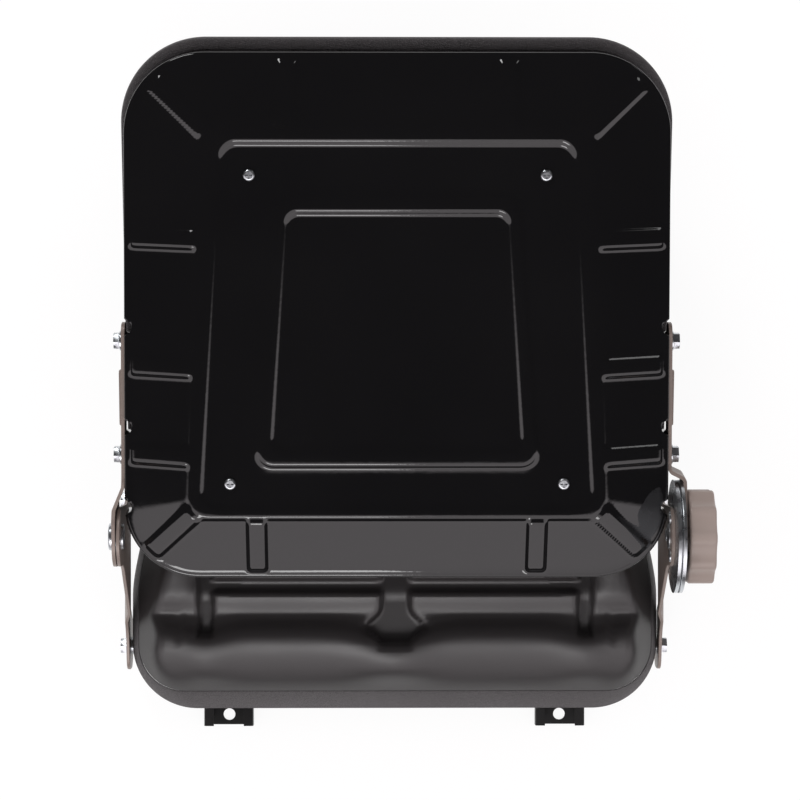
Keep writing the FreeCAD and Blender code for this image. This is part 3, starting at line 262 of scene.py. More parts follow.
def closeEdge(mesh):
    edges = [edge for edge in mesh.edges if edge.is_boundary]
    bmesh.ops.contextual_create(mesh, geom=edges)


def ringLoop(rings, warps, steps, lift):
    # a closed tube that runs round an outline; each ring is one point of its section
    mesh = bmesh.new()
    along = range(-steps, steps)
    places = ([(steps, n) for n in along] + [(-n, steps) for n in along]
              + [(-steps, -n) for n in along] + [(n, -steps) for n in along])
    bmesh.ops.create_circle(mesh, segments=len(places), radius=1.0)
    loop = sorted(mesh.verts, key=lambda v: math.atan2(v.co.y, v.co.x))
    edges = list(mesh.edges)
    for index, shape in enumerate(rings):
        if index:
            made = bmesh.ops.extrude_edge_only(mesh, edges=edges)["geom"]
            fresh = {item for item in made if isinstance(item, bmesh.types.BMVert)}
            edges = [item for item in made
                     if isinstance(item, bmesh.types.BMEdge) and fresh.issuperset(item.verts)]
            loop = [next(edge.other_vert(vert) for edge in vert.link_edges
                         if edge.other_vert(vert) in fresh) for vert in loop]
        for vert, (i, j) in zip(loop, places):
            x, u = ringPoint(shape, i, j, warps)
            vert.co = lift(x, u, shape[heightAt], index)
    rims = [edge for edge in mesh.edges if edge.is_boundary]
    bmesh.ops.bridge_loops(mesh, edges=rims)
    bmesh.ops.recalc_face_normals(mesh, faces=mesh.faces)
    return mesh


# Pressed pan of the backrest

backPan = {
    # outlines: low and high end, half widths there, corner radii there
    "rim": (-34.6, 421.0, 237.0, 231.5, 65.0, 69.0),
    "ridge": (19.8, 363.0, 183.0, 169.0, 20.0, 22.0),
    "ring": (34.0, 344.0, 167.0, 147.0, 12.0, 12.0),
    "innerRidge": (66.0, 304.5, 123.0, 105.0, 16.0, 18.0),
    "panel": (84.5, 285.0, 106.0, 92.0, 8.0, 8.0),
    "rimHeight": 10.0,
    "wallHeight": -22.0,
    "rimFlat": 6.0,
    "flangeHeight": 28.0,
    "ridgeHeight": 30.6,
    "ringHeight": 28.0,
    "draft": 3.8,  # run of a wall between two levels
    "rimBend": 6.0,
    "flangeBend": 4.0,
    "bend": 1.8,
    "ribHeight": 2.9,
    "ribDraft": 6.0,
    "ribWidth": 10.0,
    "ribUnder": 0.3,  # ribs stay this far under the ridge's top
    "ribStart": (3.0, 9.0),  # distance in from the rim where a rib starts to rise and where it is full
    "ribFrom": 0.5,  # no rib is looked for nearer to the rim than this
    "ribPast": 3.0,  # ribs run this far into the ridge's wall
    "ribReach": 25.0,  # ribs are looked for from this far inside the ridge's edge outwards
    "sideRibClear": 5.0,  # side ribs keep this far from the ridge's ends
    "sideRibs": (264.0, 153.5, 76.0),
    "topRibs": (-94.0, 94.0),
    "lowRibs": (-121.0, 121.0),
    # low and high corner ribs: points in from the rim's and the ridge's corner, and runs past them
    "cornerRibs": ((19.0, 5.0), (20.0, 6.0)),
    "cornerRibEnds": (40.0, 15.0),
    "notches": (186.0, 98.6, 27.7),
    "notchRadius": 6.5,
    "sheet": 1.5,
    "sideSpan": (42.0, 341.0),
    "lowSpan": 150.0,
    "highSpan": 146.0,
    # mesh: lines on the flange's spans, and steps round a bend and round the rim
    "spanLines": 64,
    "bendSteps": 3,
    "rimSteps": 5,
}


def alignSpans(shape):
    # from the ridge outwards all outlines share their straight spans, so ribs follow mesh lines
    shape[sideSpanAt] = backPan["sideSpan"]
    shape[endSpanAt] = backPan["lowSpan"], backPan["highSpan"]
    return shape


def backPanRings():
    pan = backPan
    draft, lines = pan["draft"], pan["spanLines"]
    levels = (
        # outline, inset, height, mesh lines from the middle of a span, mesh steps before it
        ("panel", 0, "ringHeight", 31, 38),
        ("panel", -draft, "ridgeHeight", 34, 1),
        ("innerRidge", draft, "ridgeHeight", 38, 1),
        ("innerRidge", 0, "ringHeight", 42, 1),
        ("ring", 0, "ringHeight", 51, 5),
        ("ring", -draft, "ridgeHeight", 55, 1),
        ("ridge", draft, "ridgeHeight", lines - 4, 1),
        ("ridge", 0, "flangeHeight", lines, 1),
    )
    keys = [(pointRing(pan["panel"], pan["ringHeight"]), 0, 0, 0)]
    for outline, inset, height, spanLines, steps in levels:
        shape = insetRing(pan[outline], inset, pan[height], spanLines)
        if outline == "ridge":
            shape = alignSpans(shape)
        keys.append((shape, pan["bend"], pan["bendSteps"], steps))
    for inset, height, bend, bendSteps, steps in (
            (pan["rimFlat"], "rimHeight", pan["flangeBend"], pan["bendSteps"], 19),
            (0, "rimHeight", pan["rimBend"], pan["rimSteps"], 1),
            (0, "wallHeight", 0, 0, 4)):
        shape = alignSpans(insetRing(pan["rim"], inset, pan[height], lines))
        keys.append((shape, bend, bendSteps, steps))
    return roundedRings(keys)


def backPanWarps():
    pan = backPan
    midDraft = (pan["ribWidth"] + pan["ribDraft"]) / 2
    nearEdge = pan["notchRadius"] * 0.9  # mesh lines gather just inside a notch's edge

    def beside(places, distance):
        return [place + side * distance for place in places for side in (-1, 1)]

    sideStart, sideEnd = pan["sideSpan"]
    return {
        "side": denserAt(beside(pan["sideRibs"], midDraft) + beside(pan["notches"], nearEdge),
                         (sideEnd - sideStart) / 2, (sideStart + sideEnd) / 2),
        "high": denserAt(beside(pan["topRibs"], midDraft), pan["highSpan"]),
        "low": denserAt(beside(pan["lowRibs"], midDraft), pan["lowSpan"]),
    }


def cornerPoint(plan, sign, end, inset):
    # near a corner of an outline; end is 0 for its low end and 1 for its high end
    inward = -inset if end else inset
    return Vector((sign * (plan[2 + end] - inset), plan[end] + inward))


def makeBackPan():
    pan = backPan
    rings = backPanRings()
    ridgeStart, ridgeEnd = pan["ridge"][:2]
    rimReach, ridgeReach = ringLength(pan["rim"]) / 2, ringLength(pan["ridge"]) / 2
    slope = (pan["flangeHeight"] - pan["rimHeight"]) / (rimReach - pan["rimFlat"] - ridgeReach)
    insets = [rimReach - ringLength(shape) / 2 for shape in rings]
    ribEnd = rimReach - ridgeReach + pan["draft"] + pan["ribPast"]
    belowRidge = pan["ridgeHeight"] - 0.05
    ribHalf = pan["ribWidth"] / 2
    corners = [(cornerPoint(pan["rim"], sign, end, fromRim),
                cornerPoint(pan["ridge"], sign, end, fromRidge))
               for sign in (-1, 1) for end, (fromRim, fromRidge) in enumerate(pan["cornerRibs"])]

    def rimHalf(u):
        low, high, lowHalf, highHalf = pan["rim"][:4]
        return lowHalf + (highHalf - lowHalf) * (u - low) / (high - low)

    def across(distance):
        # 1 on a rib's top, falling to 0 over its wall
        return smooth((ribHalf + pan["ribDraft"] - distance) / pan["ribDraft"])

    def ribShare(x, u):
        reach, clear = pan["ribReach"], pan["sideRibClear"]
        shares = [0.0]
        if abs(x) > pan["ridge"][3] - reach and ridgeStart + clear < u < ridgeEnd - clear:
            shares += [across(abs(u - place)) for place in pan["sideRibs"]]
        if u > ridgeEnd - reach:
            shares += [across(abs(x - place)) for place in pan["topRibs"]]
        if u < ridgeStart + reach:
            shares += [across(abs(x - place)) for place in pan["lowRibs"]]
        before, after = pan["cornerRibEnds"]
        for outer, inner in corners:
            way = (inner - outer).normalized()
            offset = Vector((x, u)) - outer
            if -before < offset.dot(way) < (inner - outer).length + after:
                shares.append(across(abs(offset.x * way.y - offset.y * way.x)))
        return max(shares)

    def lift(x, u, height, index):
        inset = insets[index]
        if pan["ribFrom"] < inset < ribEnd and height < belowRidge:
            start, full = pan["ribStart"]
            flange = pan["rimHeight"] + (inset - pan["rimFlat"]) * slope
            rise = min(flange + pan["ribHeight"], pan["ridgeHeight"] - pan["ribUnder"]) - height
            if rise > 0:
                height += rise * ribShare(x, u) * smooth((inset - start) / (full - start))
        for place in pan["notches"]:
            off = abs(u - place)
            if off < pan["notchRadius"]:
                reach = rimHalf(u) - math.sqrt(pan["notchRadius"] ** 2 - off * off)
                if abs(x) > reach:
                    x = math.copysign(reach, x)
        return Vector((x, u, height))

    mesh = ringSheet(rings, backPanWarps(), lift)
    piece = objectFrom("backPanPressing", mesh, backFrame)
    wall = piece.modifiers.new("sheet", "SOLIDIFY")
    wall.thickness = pan["sheet"] * mm
    wall.offset = -1
    shadeSmooth(piece, 60)
    print("back pan:", len(rings), "rings", len(piece.data.vertices), "points")
    return piece


# Cushions

def channel(distance, half, wall):
    # 1 on a groove's floor, falling to 0 over its rounded wall
    return 1 - smooth((distance - half + wall * 0.5) / wall)


def cushionRings(shape, tail):
    # evenly from the middle to the innermost inset, then inset by inset out to the plan, then down
    plan, insets, steps = shape["plan"], shape["insets"], shape["steps"]
    point = pointRing(plan)
    core = insetRing(plan, insets[-1], 0.0, steps - shape["coreCorner"])
    rings = [core * (n / steps) + point * (1 - n / steps) for n in range(steps + 1)]
    for inset, height in [(inset, 0.0) for inset in reversed(insets[:-1])] + list(tail):
        rings.append(insetRing(plan, inset, height, len(rings) - shape["edgeCorner"]))
    return rings, [max(0.0, (ringLength(plan) - ringLength(one)) / 2) for one in rings]


def cushion(name, rings, warps, lift, place):
    mesh = ringSheet(rings, warps, lift)
    closeEdge(mesh)
    bmesh.ops.recalc_face_normals(mesh, faces=mesh.faces)
    piece = objectFrom(name, mesh, place)
    shadeSmooth(piece, 180)
    print(name, len(piece.data.vertices), "points")
    return piece


# Seat cushion

seatCushion = {
    "plan": (-174.5, 339.5, 233.0, 233.0, 42.0, 59.0),
    "waist": 0.945,  # width from the waist forward, as a share of the lobes' width
    "waistFrom": -92.0,
    "waistTo": 0.0,
    "sideHeights": (76.0, 66.0, 56.0, 45.0),
    # height over distance in from the edge
    "crown": ((0.0, 86.0), (3.0, 90.4), (7.0, 96.5), (15.0, 109.0), (26.0, 127.0), (44.0, 151.0),
              (80.0, 172.0)),
    "crownBlend": 7.0,
    # height from the rear to the front
    "profile": ((-176.0, 84.0), (-170.0, 90.5), (-160.0, 99.5), (-150.0, 106.6), (-140.0, 112.2),
                (-131.0, 115.7), (-121.0, 117.0), (-115.0, 114.6), (-109.0, 110.4), (-103.0, 108.3),
                (-97.0, 110.4), (-90.0, 113.6), (-83.0, 115.4), (-70.0, 115.6), (60.0, 118.0),
                (200.0, 138.0), (290.0, 148.5), (330.0, 145.0), (351.0, 136.0)),
    # the two long grooves and the middle one, which flares into a funnel at the rear
    "grooveX": 171.0,
    "grooveHalf": 6.5,
    "grooveDepth": 9.0,
    "grooveFrom": -124.0,
    "grooveTo": 292.0,
    "grooveRamps": (6.0, 14.0),  # length of a groove's rear and front end
    "wall": 5.0,  # width of a groove's rounded wall
    "middleHalf": 12.5,
    "middleWall": 7.0,
    "middleFrom": -131.0,
    "flareY": -114.0,
    "flareReach": 9.0,
    "flareHalf": 27.0,
    "crossY": -76.5,
    "crossHalf": 5.5,
    "crossDepth": 7.0,
    "crossRamp": 8.0,
    "floorFrom": -90.0,  # behind this the grooves' floors fall towards the rear
    "floorSlope": 0.14,
    # the roll stands further back round a groove's end: place, width and distance
    "shifts": ((0.0, 32.0, 11.0), (171.0, 22.0, 6.0)),
    "shiftSpan": (-174.0, 26.0, -96.0, 20.0),  # start, ramp, end, ramp
    # pads rise between the long grooves, bolsters outside them
    "padRise": 1.6,
    "padFrom": -80.0,
    "padRamp": 60.0,
    "bolsterRise": 9.0,
    "bolsterIn": 4.0,
    "bolsterRamp": 28.0,
    "bolsterFrom": -108.0,
    "bolsterRun": 62.0,
    # mesh
    "insets": (0.0, 0.15, 0.5, 1.0, 1.7, 2.6, 3.8, 5.2, 7.0, 9.0, 11.5, 14.5, 18.0, 22.0, 26.5, 31.5,
               37.0, 43.0),
    "steps": 78,
    "coreCorner": 7,  # mesh lines that half a corner takes, inside and along the edge
    "edgeCorner": 12,
    "denseY": (-165, -150, -127, -114, -97, -88, -84, -78),
    "denseX": (-178, -171, -164, -12, 0, 12, 164, 171, 178),
    "denseReach": (9.0, 7.0),
    "halfSpans": (207.0, 180.0),
}


def waistShare(y):
    shape = seatCushion
    run = (y - shape["waistFrom"]) / (shape["waistTo"] - shape["waistFrom"])
    return 1 - (1 - shape["waist"]) * smooth(run)


def makeSeatCushion():
    shape = seatCushion
    profile = curveThrough(shape["profile"])
    crown = curveThrough(shape["crown"])
    rings, insets = cushionRings(shape, [(0.0, height) for height in shape["sideHeights"]])
    along, wide = shape["halfSpans"]
    alongReach, wideReach = shape["denseReach"]
    side = denserAt(shape["denseY"], along, ringMiddle(shape["plan"]), alongReach)
    ends = denserAt(shape["denseX"], wide, 0.0, wideReach)
    rearRamp, frontRamp = shape["grooveRamps"]

    def grooveShare(x, y):
        # 1 on the floor of the long grooves and of the middle one, 0 outside them
        length = within(y, shape["grooveFrom"], rearRamp, shape["grooveTo"], frontRamp)
        outer = channel(abs(abs(x) - shape["grooveX"]), shape["grooveHalf"], shape["wall"]) * length
        flare = math.exp(-((y - shape["flareY"]) / shape["flareReach"]) ** 2)
        half = shape["middleHalf"] + flare * (shape["flareHalf"] - shape["middleHalf"])
        length = within(y, shape["middleFrom"], rearRamp, shape["grooveTo"], frontRamp)
        return max(outer, channel(abs(x), half, shape["middleWall"]) * length)

    def lift(x, y, height, index):
        x *= waistShare(y)
        if height > 0:
            return Vector((x, y, height))
        inside = shape["grooveX"] - abs(x)
        shift = sum(far * math.exp(-((abs(x) - at) / reach) ** 2)
                    for at, reach, far in shape["shifts"])
        top = profile(y + shift * within(y, *shape["shiftSpan"]))
        cross = channel(abs(y - shape["crossY"]), shape["crossHalf"], shape["wall"])
        top -= cross * smooth(inside / shape["crossRamp"]) * shape["crossDepth"]
        top += (shape["padRise"] * smooth(inside / shape["padRamp"])
                * smooth((y - shape["padFrom"]) / shape["padRamp"]))
        top += (shape["bolsterRise"] * smooth((shape["bolsterIn"] - inside) / shape["bolsterRamp"])
                * smooth((y - shape["bolsterFrom"]) / shape["bolsterRun"]))
        floor = profile(max(y, shape["floorFrom"])) - shape["grooveDepth"]
        floor += min(0.0, y - shape["floorFrom"]) * shape["floorSlope"]
        top += min(0.0, floor - top) * grooveShare(x, y)
        return Vector((x, y, softMin(top, crown(insets[index]), shape["crownBlend"])))

    warps = {"side": side, "high": ends, "low": ends}
    return cushion("seatCushionCover", rings, warps, lift, seatFrame)


# Backrest cushion

backCushion = {
    "plan": (-31.0, 431.0, 234.0, 237.0, 65.0, 73.0),
    # depth over distance in from the edge
    "crown": ((0.0, -38.3), (0.8, -42.5), (3.0, -46.5), (7.0, -49.6), (13.0, -51.6), (22.0, -52.8),
              (45.0, -53.4)),
    # inset and height of the cover where it turns in behind the edge band
    "tail": ((1.0, -38.1), (7.0, -37.9), (7.0, -33.0), (7.0, -26.0)),
    "grooveX": 171.0,
    "grooveHalf": 6.5,
    "grooveDepth": 7.0,
    "grooveSpan": (20.0, 14.0, 385.0, 14.0),  # start, ramp, end, ramp
    "crossGrooves": (120.0, 290.0),
    "crossHalf": 5.0,
    "crossDepth": 5.5,
    "crossRamp": 8.0,
    "wall": 6.5,
    "padRise": 2.0,
    "padRamp": 70.0,
    # mesh
    "insets": (0.0, 0.15, 0.5, 1.0, 1.8, 3.0, 4.5, 6.5, 9.0, 12.0, 16.0, 21.0, 27.0, 34.0, 42.0),
    "steps": 92,
    "coreCorner": 7,
    "edgeCorner": 14,
    "besideCross": (-6, 0, 6),
    "denseX": (-178, -171, -164, 164, 171, 178),
    "denseReach": 7.0,
    "halfSpans": (165.0, 175.0),
}


def makeBackCushion():
    shape = backCushion
    crown = curveThrough(shape["crown"])
    rings, insets = cushionRings(shape, shape["tail"])
    firstCross, lastCross = shape["crossGrooves"]
    dense = [u + beside for u in shape["crossGrooves"] for beside in shape["besideCross"]]
    along, wide = shape["halfSpans"]
    side = denserAt(dense, along, ringMiddle(shape["plan"]), shape["denseReach"])
    ends = denserAt(shape["denseX"], wide, 0.0, shape["denseReach"])

    def lift(x, u, height, index):
        if height < 0:
            return Vector((x, u, height))
        inside = shape["grooveX"] - abs(x)
        grooves = channel(abs(inside), shape["grooveHalf"], shape["wall"])
        grooves *= within(u, *shape["grooveSpan"])
        cross = max(channel(abs(u - place), shape["crossHalf"], shape["wall"])
                    for place in shape["crossGrooves"])
        cross *= smooth(inside / shape["crossRamp"])
        drop = max(grooves * shape["grooveDepth"], cross * shape["crossDepth"])
        belly = abs(math.sin((u - firstCross) * math.pi / (lastCross - firstCross))) ** 0.5
        pads = shape["padRise"] * smooth(inside / shape["padRamp"]) * belly
        return Vector((x, u, crown(insets[index]) + drop - pads))

    warps = {"side": side, "high": ends, "low": ends}
    return cushion("backCushionCover", rings, warps, lift, backFrame)


# Edge bands

bandSteps = 62
bandLines = bandSteps * 0.72  # mesh lines from the middle on a straight span
evenWarps = {"side": evenly, "high": evenly, "low": evenly}

seatBand = {
    "lowPlan": (-194.0, 351.0, 241.5, 241.5, 60.0, 70.0),
    "highPlan": (-176.0, 341.0, 234.5, 234.5, 42.0, 60.0),
    "heights": (52.0, 80.0),
    "thick": 2.0,
    "belly": 1.2,
    "bellySteps": 9,
}

backBand = {
    "heights": (-38.0, -23.0),
    "thick": 6.0,
    "edge": (1.8, 1.4),  # height of its rounded edges, low and high
    "belly": 0.8,
    "bellySteps": 6,
}


def band(name, rings, lift, place):
    piece = objectFrom(name, ringLoop(rings, evenWarps, bandSteps, lift), place)
    shadeSmooth(piece, 70)
    print(name, len(piece.data.vertices), "points")
    return piece


def makeSeatBand():
    low, high = seatBand["heights"]
    thick = seatBand["thick"]
    lowPlan, highPlan = np.array(seatBand["lowPlan"]), np.array(seatBand["highPlan"])
    # share of the way from the low plan to the high one, inset and height
    section = [(0.0, thick, low + 0.4), (0.0, 0.6, low), (0.0, 0.0, low + 0.8)]
    for n in range(1, seatBand["bellySteps"]):
        share = n / seatBand["bellySteps"]
        belly = seatBand["belly"] * math.sin(math.pi * share)
        section.append((share, -belly, low + (high - low) * share))
    section += [(0.97, -0.1, high - 1.2), (1.0, 0.15, high - 0.3), (1.0, 0.7, high),
                (1.0, 1.1, high - 0.6), (0.9, thick - 0.4, high - 4.0), (0.4, thick, low + 10.0)]
    rings = [insetRing(tuple(lowPlan + (highPlan - lowPlan) * share), inset, height, bandLines)
             for share, inset, height in section]

    def lift(x, y, height, index):
        return Vector((x * waistShare(y), y, height))

    return band("seatBandCover", rings, lift, seatFrame)


def makeBackBand():
    low, high = backBand["heights"]
    thick = backBand["thick"]
    lowEdge, highEdge = backBand["edge"]
    # inset and height
    section = [(thick, low + 0.4), (2.0, low), (0.6, low + 0.5), (0.0, low + lowEdge)]
    for n in range(1, backBand["bellySteps"]):
        share = n / backBand["bellySteps"]
        section.append((-backBand["belly"] * math.sin(math.pi * share),
                        low + lowEdge + (high - low - lowEdge - highEdge) * share))
    section += [(0.1, high - 1.2), (0.8, high - 0.3), (2.0, high), (9.4, high - 0.2),
                (10.0, high - 1.0), (thick, high - 2.4)]
    rings = [insetRing(backCushion["plan"], inset, height, bandLines) for inset, height in section]

    def lift(x, u, height, index):
        return Vector((x, u, height))

    return band("backBandCover", rings, lift, backFrame)


# Rigid parts with their edges rounded: a copy of the part, merged, with a small bevel

softEdges = {
    "left_upper_bracket": 0.5, "right_upper_bracket": 0.5,
    "left_lower_bracket": 0.5, "right_lower_bracket": 0.5,
    "left_lower_rail": 0.35, "right_lower_rail": 0.35,
    "left_upper_rail": 0.35, "right_upper_rail": 0.35,
    "seat_pan": 0.4, "back_board": 0.6,
    "rear_lever_ear": 0.4, "front_lever_ear": 0.4, "latch_plate": 0.35,
    "back_bracket_bolts": 0.25, "seat_bracket_bolts": 0.25,
    "back_bolt_washers": 0.2, "seat_bolt_washers": 0.2,
    "handwheel_cap": 0.2,
}
softening = {
    "merge": 0.002,  # points nearer than this are one
    "flat": 0.5,  # faces that turn less than this become one
    "bevelFrom": 40,
    "sharpFrom": 35,
}


def softened(node, width):
    mesh = bmesh.new()
    mesh.from_mesh(frame["nodes"][node].data)
    bmesh.ops.remove_doubles(mesh, verts=mesh.verts, dist=softening["merge"] * mm)
    bmesh.ops.dissolve_limit(mesh, angle_limit=math.radians(softening["flat"]),
                             verts=mesh.verts, edges=mesh.edges)
    piece = objectFrom(node + ".soft", mesh)
    bevel = piece.modifiers.new("edges", "BEVEL")
    bevel.width = width * mm
    bevel.segments = 2
    bevel.limit_method = "ANGLE"
    bevel.angle_limit = math.radians(softening["bevelFrom"])
    bevel.harden_normals = False
    shadeSmooth(piece, softening["sharpFrom"])
    return piece


# Materials

def nodeGroup(name, inputs, outputs):
    group = bpy.data.node_groups.new(name, "ShaderNodeTree")
    for label, value in inputs.items():
        socket = group.interface.new_socket(name=label, in_out="INPUT", socket_type="NodeSocketFloat")
        socket.default_value = value
    for label, kind in outputs.items():
        group.interface.new_socket(name=label, in_out="OUTPUT", socket_type=kind)
    return group, group.nodes.new("NodeGroupInput"), group.nodes.new("NodeGroupOutput")


def add(tree, kind, links=None, **values):
    node = tree.nodes.new(kind)
    for label, value in values.items():
        setattr(node, label, value)
    for label, source in (links or {}).items():
        socket = node.inputs[label]
        if isinstance(source, bpy.types.NodeSocket):
            tree.links.new(source, socket)
        else:
            socket.default_value = source
    return node


def makeGrainGroup():
    # leather-like grain: pebbles with fine creases between them; the second output is 0 in the creases
    # and is used to paint shade into them
    group, start, end = nodeGroup("hideGrain", {"Scale": 900.0},
                                  {"Height": "NodeSocketFloat", "CreaseShade": "NodeSocketFloat"})
    place = add(group, "ShaderNodeTexCoord")
    warp = add(group, "ShaderNodeTexNoise",
               {"Vector": place.outputs["Object"], "Scale": 260.0, "Detail": 2.0})
    moved = add(group, "ShaderNodeVectorMath",
                {0: warp.outputs["Color"], 1: (0.0016, 0.0016, 0.0016)}, operation="MULTIPLY")
    spot = add(group, "ShaderNodeVectorMath",
               {0: place.outputs["Object"], 1: moved.outputs[0]}, operation="ADD")
    cells = add(group, "ShaderNodeTexVoronoi",
                {"Vector": spot.outputs[0], "Scale": start.outputs["Scale"]},
                feature="DISTANCE_TO_EDGE")
    crease = add(group, "ShaderNodeMapRange",
                 {"Value": cells.outputs["Distance"], "From Min": 0.0, "From Max": 0.28})
    fine = add(group, "ShaderNodeTexNoise",
               {"Vector": place.outputs["Object"], "Scale": 2600.0, "Detail": 2.0})
    total = add(group, "ShaderNodeMath",
                {0: fine.outputs["Fac"], 1: 0.25, 2: crease.outputs["Result"]},
                operation="MULTIPLY_ADD")
    group.links.new(total.outputs[0], end.inputs["Height"])
    group.links.new(crease.outputs["Result"], end.inputs["CreaseShade"])
    return group


def makeUnevenGroup():
    # an even value that wanders a little, in large soft patches and fine specks
    group, start, end = nodeGroup("unevenFinish",
                                  {"Low": 0.3, "High": 0.5, "Scale": 9.0, "Specks": 0.0},
                                  {"Value": "NodeSocketFloat", "Patches": "NodeSocketFloat"})
    place = add(group, "ShaderNodeTexCoord")
    patches = add(group, "ShaderNodeTexNoise",
                  {"Vector": place.outputs["Object"], "Scale": start.outputs["Scale"], "Detail": 6.0})
    soft = add(group, "ShaderNodeMapRange",
               {"Value": patches.outputs["Fac"], "From Min": 0.35, "From Max": 0.65,
                "To Min": start.outputs["Low"], "To Max": start.outputs["High"]})
    dots = add(group, "ShaderNodeTexVoronoi", {"Vector": place.outputs["Object"], "Scale": 420.0})
    speck = add(group, "ShaderNodeMapRange",
                {"Value": dots.outputs["Distance"], "From Min": 0.16, "From Max": 0.08})
    total = add(group, "ShaderNodeMath",
                {0: speck.outputs["Result"], 1: start.outputs["Specks"], 2: soft.outputs["Result"]},
                operation="MULTIPLY_ADD")
    group.links.new(total.outputs[0], end.inputs["Value"])
    group.links.new(patches.outputs["Fac"], end.inputs["Patches"])
    return group


def makeScuffGroup():
    # fine straight rub marks, mostly one way
    group, start, end = nodeGroup("rubMarks", {"Scale": 60.0}, {"Marks": "NodeSocketFloat"})
    place = add(group, "ShaderNodeTexCoord")
    stretched = add(group, "ShaderNodeMapping",
                    {"Vector": place.outputs["Object"], "Scale": (1.0, 22.0, 22.0),
                     "Rotation": (0.2, 0.3, 0.5)})
    lines = add(group, "ShaderNodeTexNoise",
                {"Vector": stretched.outputs[0], "Scale": start.outputs["Scale"], "Detail": 4.0})
    where = add(group, "ShaderNodeTexNoise",
                {"Vector": place.outputs["Object"], "Scale": 14.0, "Detail": 3.0})
    sharp = add(group, "ShaderNodeMapRange",
                {"Value": lines.outputs["Fac"], "From Min": 0.62, "From Max": 0.74})
    area = add(group, "ShaderNodeMapRange",
               {"Value": where.outputs["Fac"], "From Min": 0.52, "From Max": 0.66})
    both = add(group, "ShaderNodeMath",
               {0: sharp.outputs["Result"], 1: area.outputs["Result"]}, operation="MULTIPLY")
    group.links.new(both.outputs[0], end.inputs["Marks"])
    return group


groups = {"grain": makeGrainGroup(), "uneven": makeUnevenGroup(), "scuff": makeScuffGroup()}


def placeGroup(tree, name, **values):
    node = tree.nodes.new("ShaderNodeGroup")
    node.node_tree = groups[name]
    for label, value in values.items():
        node.inputs[label].default_value = value
    return node


def newMaterial(name):
    material = bpy.data.materials.new(name)
    material.use_nodes = True
    tree = material.node_tree
    return material, tree, tree.nodes["Principled BSDF"]


def newFinish(name, roughness, scale, specks=0.0):
    # a material whose roughness wanders between a low and a high value
    material, tree, shader = newMaterial(name)
    low, high = roughness
    uneven = placeGroup(tree, "uneven", Low=low, High=high, Scale=scale, Specks=specks)
    tree.links.new(uneven.outputs["Value"], shader.inputs["Roughness"])
    return material, tree, shader, uneven


def tinted(tree, shader, factor, dark, light):
    mix = add(tree, "ShaderNodeMix", {"Factor": factor}, data_type="RGBA")
    mix.inputs["A"].default_value = (*dark, 1)
    mix.inputs["B"].default_value = (*light, 1)
    tree.links.new(mix.outputs["Result"], shader.inputs["Base Color"])


def bumped(tree, shader, height, strength, distance):
    bump = add(tree, "ShaderNodeBump", {"Height": height, "Strength": strength, "Distance": distance})
    tree.links.new(bump.outputs["Normal"], shader.inputs["Normal"])


def peeled(tree, shader, scale, detail, strength, distance):
    # the fine unevenness of a sprayed, plated or moulded surface
    place = add(tree, "ShaderNodeTexCoord")
    noise = add(tree, "ShaderNodeTexNoise",
                {"Vector": place.outputs["Object"], "Scale": scale, "Detail": detail})
    bumped(tree, shader, noise.outputs["Fac"], strength, distance)


def glossBlackPaint():
    material, tree, shader, uneven = newFinish("gloss_black_paint", (0.045, 0.085), 7.0, 0.12)
    tinted(tree, shader, uneven.outputs["Patches"], (0.003, 0.003, 0.0034), (0.005, 0.0049, 0.0053))
    peeled(tree, shader, 170.0, 2.0, 0.05, 0.0006)
    shader.inputs["IOR"].default_value = 1.5
    return material


def satinBlackPaint():
    material, tree, shader = newFinish("black_paint", (0.3, 0.46), 12.0, 0.2)[:3]
    scuff = placeGroup(tree, "scuff", Scale=70.0)
    tinted(tree, shader, scuff.outputs["Marks"], (0.008, 0.008, 0.008), (0.035, 0.034, 0.033))
    peeled(tree, shader, 900.0, 3.0, 0.15, 0.0003)
    return material


def taupePaint():
    material, tree, shader = newFinish("taupe_paint", (0.34, 0.5), 16.0, 0.15)[:3]
    scuff = placeGroup(tree, "scuff", Scale=80.0)
    tinted(tree, shader, scuff.outputs["Marks"], (0.22, 0.18, 0.158), (0.3, 0.255, 0.228))
    shader.inputs["Metallic"].default_value = 0.25
    peeled(tree, shader, 1400.0, 3.0, 0.2, 0.0002)
    return material


def bareSteel(name, dark, light, roughness):
    material, tree, shader, uneven = newFinish(name, roughness, 120.0, 0.1)
    tinted(tree, shader, uneven.outputs["Patches"], dark, light)
    shader.inputs["Metallic"].default_value = 1.0
    peeled(tree, shader, 1800.0, 2.0, 0.1, 0.0001)
    return material


def vinyl(name, dark, light, roughness, scale, strength, distance):
    material, tree, shader = newFinish(name, roughness, 8.0)[:3]
    grain = placeGroup(tree, "grain", Scale=scale)
    # the creases are painted darker than the pebbles: painted shade in the grain's hollows
    tinted(tree, shader, grain.outputs["CreaseShade"], dark, light)
    bumped(tree, shader, grain.outputs["Height"], strength, distance)
    shader.inputs["Sheen Weight"].default_value = 0.08
    shader.inputs["Sheen Roughness"].default_value = 0.4
    return material


def mouldedPlastic(name, dark, light, roughness, fine):
    material, tree, shader, uneven = newFinish(name, roughness, 20.0, 0.1)
    tinted(tree, shader, uneven.outputs["Patches"], dark, light)
    peeled(tree, shader, fine, 2.0, 0.3, 0.0002)
    return material


def birchBoard():
    material, tree, shader = newMaterial("birch_board")
    place = add(tree, "ShaderNodeTexCoord")
    along = add(tree, "ShaderNodeMapping",
                {"Vector": place.outputs["Object"], "Scale": (1.0, 14.0, 60.0)})
    lines = add(tree, "ShaderNodeTexNoise",
                {"Vector": along.outputs[0], "Scale": 9.0, "Detail": 7.0})
    tinted(tree, shader, lines.outputs["Fac"], (0.36, 0.23, 0.12), (0.62, 0.45, 0.28))
    bumped(tree, shader, lines.outputs["Fac"], 0.2, 0.0004)
    shader.inputs["Roughness"].default_value = 0.7
    return material


